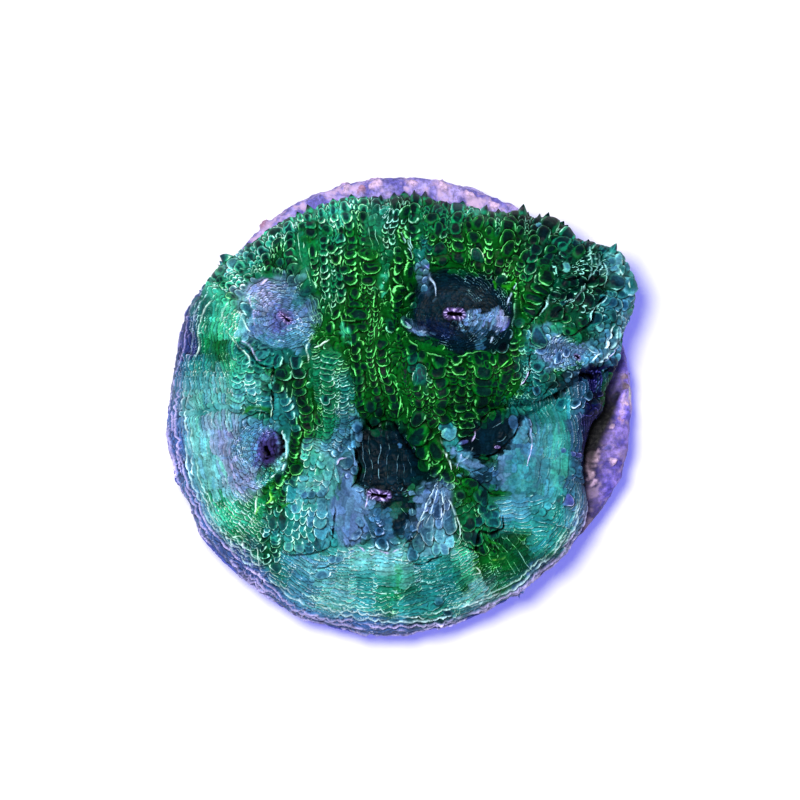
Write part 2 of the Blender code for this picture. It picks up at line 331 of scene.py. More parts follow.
    (4.1, -2.2, 0.6, 1.0, -10, 0.5, 1.0, "aqua"),
    (5.0, -4.2, 0.8, 1.3, 35, 0.5, 0.9, "sky"),
    # small patches over the borders of the others
    (1.6, 2.8, 0.7, 1.1, 0, 0.9, 0.6, "teal"),
    (9.9, -5.0, 1.7, 2.4, 0, 0.8, 0.8, "slate"),
    (9.6, -5.4, 1.4, 1.6, 0, 0.8, 0.6, "aqua"),
    (9.6, 0.0, 1.0, 0.9, 0, 0.8, 0.7, "teal"),
    (5.8, -9.8, 0.9, 1.6, 20, 0.8, 0.6, "leaf"),
    (4.0, -10.4, 0.9, 1.4, 0, 0.8, 0.7, "pale"),
    (-8.0, 12.2, 0.9, 2.0, 10, 0.8, 0.8, "leaf"),
    (-12.4, 12.0, 1.6, 1.0, 42, 0.8, 0.7, "mint"),
    (-6.0, 0.4, 0.9, 2.2, 0, 0.8, 0.7, "leaf"),
    (0.4, 14.2, 0.8, 1.4, 0, 0.8, 0.9, "green"),
    (-16.2, 7.8, 0.9, 1.4, -15, 0.8, 0.8, "sea"),
    (8.4, 5.7, 1.0, 0.7, -10, 0.8, 0.9, "dark"),
    (6.2, 6.0, 0.9, 0.4, -20, 0.6, 0.7, "slate"),
    (8.3, 8.0, 0.7, 0.6, 0, 0.6, 0.8, "dark"),
    (-14.3, 12.2, 1.3, 0.6, 50, 0.8, 0.8, "pale"),
    (12.0, -4.2, 1.1, 3.4, 0, 0.8, 0.5, "sky"),
    (2.4, -10.2, 1.0, 1.2, 0, 0.8, 0.5, "pale"),
    (1.4, -5.8, 1.1, 0.8, -20, 0.6, 0.9, "dark"),
    (-17.6, 5.2, 0.8, 1.6, 0, 0.9, 0.8, "night"),
    (-16.6, 9.4, 0.5, 1.0, -40, 0.9, 0.7, "navy"),
    (-12.4, 2.2, 1.2, 0.9, 0, 0.8, 0.6, "mint"),
    (-16.2, 2.6, 1.4, 0.8, -10, 0.9, 0.7, "aqua"),
    (-17.5, 5.2, 1.0, 2.6, -4, 0.9, 0.8, "night"),
    (-14.8, 4.8, 1.3, 1.3, -25, 0.9, 0.6, "green"),
    (-16.6, 4.0, 1.5, 0.7, 20, 0.9, 0.5, "aqua"),
    (17.9, 8.4, 1.1, 2.0, 0, 0.9, 0.6, "sky"),
    (15.6, 10.8, 2.4, 1.4, -40, 0.9, 0.5, "sea"),
    (-12.2, -12.4, 1.1, 1.8, -15, 0.9, 0.8, "sea"),
    (-12.2, 2.0, 1.4, 1.0, 0, 0.9, 0.6, "pale"),
    (10.4, -14.2, 1.6, 0.6, 38, 0.8, 0.7, "blue"),
    (8.3, 8.6, 0.9, 0.9, 0, 0.8, 0.8, "dark"),
    (-4.6, 1.2, 0.7, 2.4, 8, 0.9, 0.7, "teal"),
    (-12.2, 1.6, 1.3, 1.4, 0, 0.8, 0.6, "aqua"),
    (-14.0, 0.4, 1.6, 1.2, 0, 0.8, 0.7, "pale"),
)

# ---------------------------------------------------------------------------------------------------------
# The colony's shape: the CAD's, with the outline and the disc's radius trimmed a little
# ---------------------------------------------------------------------------------------------------------

DISC_RADIUS = 17.7
DISC_THICKNESS = 5.0
CRUST_THICKNESS = 1.2
GENERAL_HEIGHT = 9.6
# Where the disc's rim is bare, in degrees: the middle's direction, how far each way, how softly it ends
BARE_DIRECTION = 54.0
BARE_HALF_TURN = 84.0
BARE_FADE = 5.0
# Where its outermost point lies lower than this, the margin hangs over the disc's side, down to this height
HANGS_BELOW = 5.3
HANGING_EDGE = 3.7
# How far the side runs in under the margin, where it stands on the disc and where it hangs
TUCK = 1.0
HANGING_TUCK = 0.25
# Noise that follows the margin is taken round a circle of this radius, so that it has no seam
ROUND = 18.0

# Direction in degrees from +X, and distance of the outline from the disc's axis
OUTLINE = (
    (0, 16.4), (5, 16.9), (13, 18.2), (19, 19.3), (24, 20.9), (30, 21.8), (36, 21.7), (43, 20.0),
    (50, 19.8), (58, 18.7), (64, 17.6), (72, 17.4), (82, 17.2), (95, 17.3), (108, 17.7), (122, 18.0),
    (133, 18.3), (143, 18.9), (152, 19.1), (162, 19.0), (172, 18.8), (182, 19.0), (200, 19.1), (216, 19.1),
    (230, 18.8), (245, 18.8), (262, 18.5), (278, 18.2), (290, 17.9), (305, 17.8), (318, 17.8), (327, 17.6),
    (334, 17.0), (341, 15.8), (352, 15.6),
)

# Direction, height of the margin's outermost point, height of its lower edge, squareness behind it
MARGIN = (
    (0, 7.0, 6.2, 8.0), (20, 7.6, 6.8, 9.0), (33, 8.2, 6.9, 9.0), (50, 7.4, 6.4, 10.0),
    (70, 6.2, 5.6, 10.0), (100, 6.0, 5.6, 9.0), (130, 5.9, 5.6, 7.0), (150, 4.8, 5.4, 4.5),
    (180, 4.5, 5.4, 3.8), (270, 4.5, 5.4, 3.8), (295, 4.9, 5.4, 4.2), (315, 6.0, 5.6, 5.5),
    (340, 6.8, 6.1, 7.0),
)

# Centre, half-widths, rise
SWELLINGS = (
    (4.5, 8.0, 10.0, 7.5, 2.9),
    (-9.5, 7.5, 6.5, 5.5, 0.8),
    (1.5, 2.0, 6.5, 4.0, 1.3),
    (13.5, 4.5, 4.0, 4.5, 0.6),
)

# Start, end, half-width, rise at the start and at the end
WALLS = (
    ((-2.6, 12.0), (-2.2, 1.0), 2.4, 1.0, 0.9),
    ((-8.0, 3.0), (-8.2, -5.0), 2.1, 1.0, 0.5),
    ((-8.2, -5.0), (-10.5, -12.0), 2.0, 0.5, 0.0),
    ((3.4, 0.5), (4.6, -6.0), 2.0, 1.2, 1.0),
    ((4.6, -6.0), (8.2, -14.0), 2.2, 1.0, 0.0),
    ((-17.0, 2.0), (-8.0, 2.4), 2.0, 0.1, 0.8),
)

# Sunken oral discs: centre, half-length, half-width, turn in degrees, depth
ORAL_DISCS = (
    (-9.7, 7.4, 3.4, 3.0, -30.0, 2.0),
    (4.7, 7.9, 4.9, 3.8, 0.0, 3.0),
    (-11.6, -3.9, 3.4, 2.8, 80.0, 1.8),
    (-1.5, -6.4, 5.2, 4.0, 90.0, 2.3),
    (9.4, -3.6, 5.0, 3.6, -20.0, 1.3),
    (13.8, 4.2, 2.1, 1.9, 0.0, 1.0),
)

# Narrow furrows: start, end, half-width, depth
FURROWS = (
    ((0.7, 15.8), (1.0, 9.6), 0.8, 1.0),
    ((1.0, 9.6), (1.3, 4.6), 0.6, 0.5),
    ((12.8, 10.7), (11.6, 8.7), 0.4, 0.7),
    ((16.6, 12.3), (15.2, 10.2), 0.4, 0.9),
    ((15.2, 10.2), (13.6, 9.4), 0.4, 0.7),
    ((-10.5, 2.4), (-10.6, -0.6), 0.35, 0.9),
    ((-13.3, 5.2), (-11.8, 3.8), 0.35, 0.7),
)

# Steps down, where a fold overhangs its neighbour. The low side is on the right of start to end:
# start, end, depth, how far the low side runs out
LEDGES = (
    ((11.0, 0.2), (15.0, 3.0), 1.6, 1.6),
    ((15.0, 3.0), (17.6, 5.6), 1.6, 1.6),
    ((-4.4, -2.4), (-2.6, -0.9), 1.2, 1.6),
    ((-2.6, -0.9), (-0.2, -1.5), 1.4, 1.8),
    ((-0.2, -1.5), (1.0, -3.4), 1.2, 1.6),
    ((4.2, 0.4), (10.6, 0.6), 0.9, 1.6),
)

# ---------------------------------------------------------------------------------------------------------
# Rows of vesicles
# ---------------------------------------------------------------------------------------------------------

# Each fan is ruled between guide curves that run outwards. The letters give its rows from the first guide to
# the last: B a wide row, s a narrow one, f one of long folds. The number is how far it runs on over the
# margin. A fan takes the place of earlier ones where they meet.
FANS = (
    ("left_lobes", "shingle", "BsBsBsBsBsB", 1.6, (
        ((-12.9, 7.6), (-14.6, 8.4), (-16.9, 8.8)),
        ((-13.2, 5.6), (-15.4, 5.6), (-17.8, 5.6)),
        ((-12.6, 3.2), (-15.0, 2.9), (-18.2, 2.6)),
        ((-12.0, 0.4), (-15.2, 0.1), (-18.9, -0.4)),
    )),
    ("left_skirt", "shingle", "BsBsBsBsBsBsBsBs", 1.6, (
        ((-13.0, -0.6), (-16.0, -0.8), (-19.1, -1.0)),
        ((-13.6, -3.2), (-16.2, -3.4), (-19.0, -3.6)),
        ((-13.3, -5.8), (-15.6, -6.6), (-18.0, -7.6)),
        ((-12.0, -7.4), (-14.0, -9.4), (-16.2, -11.0)),
        ((-10.6, -8.2), (-12.4, -11.0), (-13.7, -13.4)),
        ((-9.6, -9.6), (-10.6, -12.6), (-11.8, -15.2)),
    )),
    ("lower_skirt", "shingle", "BsBsBsBsBsBsBsBsBsBsBs", 1.6, (
        ((-9.6, -11.6), (-10.6, -13.4), (-11.6, -15.4)),
        ((-7.0, -11.6), (-7.6, -14.4), (-8.6, -17.2)),
        ((-4.0, -11.2), (-4.2, -14.4), (-4.6, -18.2)),
        ((-1.2, -11.4), (-1.2, -14.8), (-1.2, -18.4)),
        ((1.6, -11.4), (2.0, -14.6), (2.6, -18.0)),
        ((4.4, -11.2), (5.4, -13.9), (6.6, -16.4)),
        ((6.4, -10.2), (7.6, -12.8), (9.2, -15.2)),
    )),
    ("right_fold", "shingle", "sBsBsBsBs", 1.6, (
        ((6.0, -10.6), (7.4, -12.8), (8.9, -15.4)),
        ((8.4, -10.2), (9.6, -12.2), (11.2, -14.2)),
        ((10.6, -10.0), (11.8, -11.4), (13.2, -12.8)),
        ((12.0, -8.6), (13.6, -9.6), (15.6, -10.9)),
    )),
    ("right_lobes", "shingle", "sBsBsBsBsBs", 1.6, (
        ((10.6, 1.2), (13.0, 1.6), (15.8, 2.6)),
        ((10.8, -1.8), (13.2, -1.8), (15.6, -1.8)),
        ((10.8, -4.8), (13.0, -5.2), (15.4, -5.8)),
        ((11.4, -7.0), (13.6, -7.8), (15.7, -9.0)),
        ((11.6, -9.0), (13.4, -10.0), (15.2, -11.2)),
    )),
    ("right_pleats", "pleat", "BBB", 0, (
        ((7.3, -7.0), (7.8, -8.6), (8.2, -10.4)),
        ((9.6, -6.9), (9.8, -8.7), (9.8, -10.5)),
        ((12.2, -7.2), (12.4, -8.8), (11.8, -10.4)),
    )),
    ("upper_left", "bead", "sBssBsBssBsBssBs", 2.6, (
        ((-12.6, 8.4), (-13.8, 9.2), (-15.6, 10.3)),
        ((-12.3, 10.5), (-13.4, 11.2), (-15.0, 12.2)),
        ((-11.3, 11.1), (-12.0, 12.6), (-13.2, 13.9)),
        ((-9.9, 10.9), (-10.3, 13.0), (-11.1, 15.1)),
        ((-8.2, 10.9), (-8.6, 13.6), (-9.0, 16.2)),
    )),
    ("crown_left", "bead", "sBfBfsBfBfsBfB", 2.6, (
        ((-7.6, 10.2), (-8.4, 13.2), (-8.9, 16.2)),
        ((-6.4, 8.4), (-6.4, 12.4), (-6.7, 16.6)),
        ((-4.9, 7.0), (-4.8, 12.0), (-5.4, 17.1)),
        ((-3.4, 6.4), (-3.2, 11.6), (-3.6, 17.0)),
        ((-2.2, 6.4), (-2.0, 11.6), (-1.8, 16.7)),
    )),
    ("crown_middle", "bead", "ffsBfsBfs", 2.6, (
        ((-1.9, 12.6), (-1.6, 14.8), (-1.4, 16.9)),
        ((0.2, 13.2), (0.3, 15.4), (0.3, 17.4)),
        ((2.0, 12.8), (2.2, 15.0), (2.4, 17.0)),
    )),
    ("b_left", "bead", "ffBfB", 0, (
        ((-1.2, 6.2), (-1.1, 9.6), (-1.2, 13.0)),
        ((1.2, 6.6), (0.9, 9.8), (1.2, 13.0)),
    )),
    ("upper_ring", "bead", "BfBsBfsBsfBsf", 2.6, (
        ((2.0, 11.7), (2.3, 14.2), (2.4, 16.9)),
        ((4.4, 11.4), (4.4, 14.0), (4.3, 16.7)),
        ((6.9, 10.8), (7.2, 13.4), (7.5, 15.9)),
        ((9.0, 10.2), (9.9, 13.0), (10.7, 15.8)),
    )),
    ("upper_right", "bead", "sBfBsBfs", 2.6, (
        ((9.2, 10.6), (10.0, 13.2), (10.8, 15.8)),
        ((10.6, 10.2), (11.7, 13.0), (12.9, 15.1)),
        ((12.0, 10.4), (13.7, 12.4), (15.2, 14.0)),
        ((12.9, 10.4), (15.0, 11.8), (16.9, 13.0)),
    )),
    ("right_ring", "bead", "BsBsBsBs", 2.0, (
        ((11.6, 7.4), (13.4, 6.7), (15.2, 6.6)),
        ((12.2, 8.8), (14.4, 8.0), (17.6, 7.8)),
        ((12.9, 9.9), (15.4, 9.6), (18.8, 9.0)),
        ((13.8, 10.8), (16.0, 11.3), (18.4, 11.6)),
        ((15.2, 11.8), (16.4, 12.3), (17.4, 13.0)),
    )),
    ("a_lower", "scale", "sBsBs", 0, (
        ((-12.9, 6.4), (-13.2, 4.6), (-13.8, 2.8)),
        ((-11.6, 5.4), (-11.8, 4.2), (-12.0, 2.8)),
        ((-10.0, 5.0), (-10.3, 4.0), (-10.4, 2.8)),
    )),
    ("left_knot", "scale", "BsBsB", 0, (
        ((-13.8, 2.9), (-13.8, 1.2), (-13.9, -0.6)),
        ((-12.0, 3.0), (-12.2, 1.2), (-12.6, -0.3)),
        ((-10.6, 3.0), (-10.7, 1.0), (-10.7, -0.7)),
    )),
    ("left_wall", "bead", "BfBf", 0, (
        ((-10.3, 4.2), (-9.9, 1.0), (-8.9, -2.2), (-9.5, -5.4), (-10.8, -7.6), (-11.4, -10.6),
         (-11.2, -13.4)),
        ((-7.5, 4.4), (-7.4, 1.4), (-6.9, -1.6), (-7.8, -4.8), (-8.9, -6.9), (-10.0, -9.8),
         (-9.9, -12.6)),
    )),
    ("crumple", "crumple", "sBsBs", 0, (
        ((-7.3, 5.2), (-7.1, 2.4), (-6.9, -0.4), (-7.2, -3.8)),
        ((-5.0, 4.0), (-5.2, 2.2), (-5.2, -0.4), (-6.0, -3.8)),
        ((-3.9, 3.4), (-3.6, 1.6), (-3.6, -0.4), (-4.9, -3.8)),
    )),
    ("neck", "bead", "fBffBfBff", 0, (
        ((-4.9, 6.8), (-4.3, 4.0), (-3.8, 1.4), (-3.4, -1.2)),
        ((-3.1, 6.8), (-2.9, 4.0), (-2.6, 1.4), (-2.2, -1.4)),
        ((-2.0, 6.6), (-1.7, 4.0), (-1.2, 1.4), (-0.7, -1.2)),
        ((-1.0, 6.4), (-0.5, 4.0), (0.1, 1.4), (0.5, -1.8)),
    )),
    ("middle", "low_bead", "sBssBsBsBsBs", 0, (
        ((-0.6, 6.0), (0.1, 3.6), (0.4, 1.2), (0.8, -2.4)),
        ((1.4, 4.6), (1.6, 3.0), (1.8, 0.6), (2.4, -2.4)),
        ((3.6, 4.2), (3.6, 2.4), (3.8, 0.4), (4.2, -1.4)),
        ((5.6, 4.5), (5.7, 2.4), (5.8, 0.6), (6.0, -2.2)),
        ((7.6, 4.9), (7.8, 2.8), (7.4, 1.0), (7.0, -0.4)),
        ((9.8, 5.8), (9.9, 3.6), (9.2, 1.8), (8.4, 0.2)),
    )),
    ("far_knot", "scale", "sBsBs", 0, (
        ((9.9, 5.4), (10.1, 3.4), (9.6, 1.4), (8.9, -0.4)),
        ((11.9, 5.2), (12.2, 3.2), (11.6, 1.4), (10.4, -0.2)),
    )),
    ("ridge", "bead", "fBsBf", 0, (
        ((0.8, -2.0), (1.7, -4.6), (3.2, -6.0), (4.4, -8.0), (5.0, -10.4), (6.4, -12.6)),
        ((3.3, -0.6), (3.3, -3.4), (4.8, -5.8), (7.2, -7.0), (8.2, -9.4), (8.6, -11.6)),
    )),
    ("stacks", "stack", "sssss", 0, (
        ((-8.7, -4.6), (-9.1, -6.8), (-9.6, -9.4), (-10.0, -11.8)),
        ((-7.2, -4.2), (-7.4, -6.8), (-7.8, -9.4), (-8.0, -12.0)),
        ((-5.6, -4.2), (-5.9, -6.8), (-6.0, -9.4), (-6.0, -11.8)),
    )),
    ("d_left", "fold", "ffffffffff", 0, (
        ((-5.6, -4.0), (-5.5, -7.0), (-5.4, -11.0)),
        ((-4.6, -3.6), (-4.4, -7.0), (-4.2, -11.0)),
        ((-3.8, -6.2), (-2.8, -8.0), (-2.4, -10.6)),
    )),
    ("valley", "fold", "fffff", 0, (
        ((-2.3, 12.6), (-2.2, 9.0), (-2.2, 6.0)),
        ((-1.6, 12.6), (-1.5, 9.0), (-1.6, 5.6)),
        ((-1.1, 12.6), (-0.9, 9.0), (-1.0, 6.0)),
    )),
    ("e_disc", "fold", "ffffffffff", 0, (
        ((4.4, -3.0), (6.0, -3.9), (8.4, -3.6), (10.2, -2.0)),
        ((4.6, -4.2), (6.4, -5.2), (8.8, -4.8), (10.8, -3.4)),
        ((5.4, -5.2), (7.0, -6.4), (9.4, -6.4), (11.4, -5.4)),
    )),
    ("droplets", "drop", "ssss", 0, (
        ((2.7, -6.2), (1.6, -8.4), (0.6, -11.8)),
        ((3.0, -6.2), (2.5, -8.8), (2.6, -11.8)),
        ((3.5, -6.6), (4.2, -8.8), (4.4, -11.6)),
    )),
)

# The look of each kind of row: the pitch as a share of the row's width, its least and most in mm; then, as
# shares, half-length of the pitch, half-width of the row's half-width, height of the vesicle's radius; how
# far the inner end melts into the skin; how dished the top is, how dark the middle, how bright the edge line,
# how square the section is, and how strong the fine lines on it
LOOKS = (
    "pitch", "least", "most", "length", "width", "height", "melt", "dish", "core", "line", "square", "fine",
)
KINDS = {name: dict(zip(LOOKS, values)) for name, *values in (
    ("bead", 0.76, 0.40, 1.00, 0.78, 1.04, 0.60, 1.2, 0.05, 1.0, 1.0, 4, 0.15),
    ("low_bead", 0.62, 0.36, 0.80, 0.77, 1.04, 0.56, 1.2, 0.05, 1.0, 0.7, 5, 0.15),
    ("scale", 0.50, 0.30, 0.60, 0.95, 1.25, 0.45, 1.5, 0.05, 0.8, 0.8, 6, 0.3),
    ("stack", 0.95, 0.42, 0.72, 0.90, 1.08, 0.45, 1.4, 0.05, 0.5, 1.0, 6, 0.4),
    ("shingle", 0.20, 0.24, 0.34, 0.85, 1.30, 0.36, 1.6, 0.00, 0.2, 0.9, 10, 0.8),
    ("drop", 1.40, 0.60, 1.60, 0.76, 1.05, 0.45, 1.3, 0.05, 0.6, 0.7, 5, 0.3),
    ("pleat", 0.10, 0.30, 0.36, 0.80, 1.20, 0.30, 1.5, 0.00, 0.2, 0.9, 10, 0.6),
    ("wrinkle", 0.35, 0.18, 0.34, 0.90, 1.30, 0.24, 1.6, 0.00, 0.5, 0.7, 10, 0.4),
    ("crumple", 0.35, 0.24, 0.44, 0.85, 1.00, 0.40, 1.6, 0.00, 0.7, 0.7, 7, 0.5),
    ("fold", 4.00, 1.60, 3.20, 0.75, 1.30, 0.50, 0.5, 0.00, 0.2, 0.8, 6, 0.0),
    ("crease", 4.00, 2.00, 3.60, 0.75, 1.30, 0.40, 0.5, 0.00, 0.2, 0.4, 6, 0.0),
    ("single", 1.00, 0.40, 1.60, 0.50, 1.00, 0.70, 0.9, 0.08, 1.0, 1.0, 4, 0.15),
    ("tip", 1.00, 0.40, 1.60, 0.50, 1.00, 2.00, 0.3, 0.00, 1.0, 1.2, 1, 0.0),
    ("filler", 1.00, 0.40, 1.60, 0.50, 1.00, 0.40, 1.2, 0.00, 0.5, 0.7, 4, 0.15),
)}
# From the inner end of a fan's rows to this share of their length, its vesicles point inwards. In these fans
# a row of folds is one only there
POINTS_INWARDS = {
    "crown_left": 0.72, "crown_middle": 0.5, "b_left": 1.0, "upper_ring": 0.55, "upper_right": 0.5,
}
# How wide each letter's row is beside the others; the points along a guide, and those over the margin
ROW_WIDTHS = {"B": 2.0, "s": 1.0, "f": 0.55}
GUIDE_POINTS = 40
OVER_POINTS = 8
# How far the skin runs on past the outline, down its side
SIDE_RUN = 3.0

# Polyps A to E, then the far one: the oral disc's centre, half-length, half-width and turn in degrees; the
# kind and number of its rows; the mouth's centre, half-length, half-width and turn; the lips' reach and
# height, the mouth's depth and how jagged it is
POLYPS = (
    ((-9.8, 7.6, 3.3, 2.8, -30), ("wrinkle", 44), (-9.5, 7.4, 0.50, 0.11, -42), (0.18, 0.10, 0.9, 0.06)),
    ((5.0, 7.9, 4.3, 3.4, 0), ("wrinkle", 34), (4.4, 7.7, 0.62, 0.17, -6), (0.30, 0.22, 1.2, 0.06)),
    ((-11.9, -4.0, 2.4, 2.9, 0), ("wrinkle", 40), (-10.9, -3.6, 0.22, 0.40, 10), (0.75, 0.10, 0.9, 0.22)),
    ((-1.2, -5.6, 2.6, 4.6, 0), ("crease", 30), (-1.8, -7.15, 0.70, 0.13, -8), (0.28, 0.20, 1.1, 0.06)),
    ((8.0, -3.4, 2.6, 3.2, 15), ("crease", 30), (7.9, -3.2, 0.22, 0.05, -15), (0.07, 0.04, 0.4, 0.05)),
    ((13.4, 4.5, 1.9, 1.5, 0), ("wrinkle", 28), (14.4, 4.2, 0.24, 0.07, -40), (0.10, 0.05, 0.4, 0.05)),
)

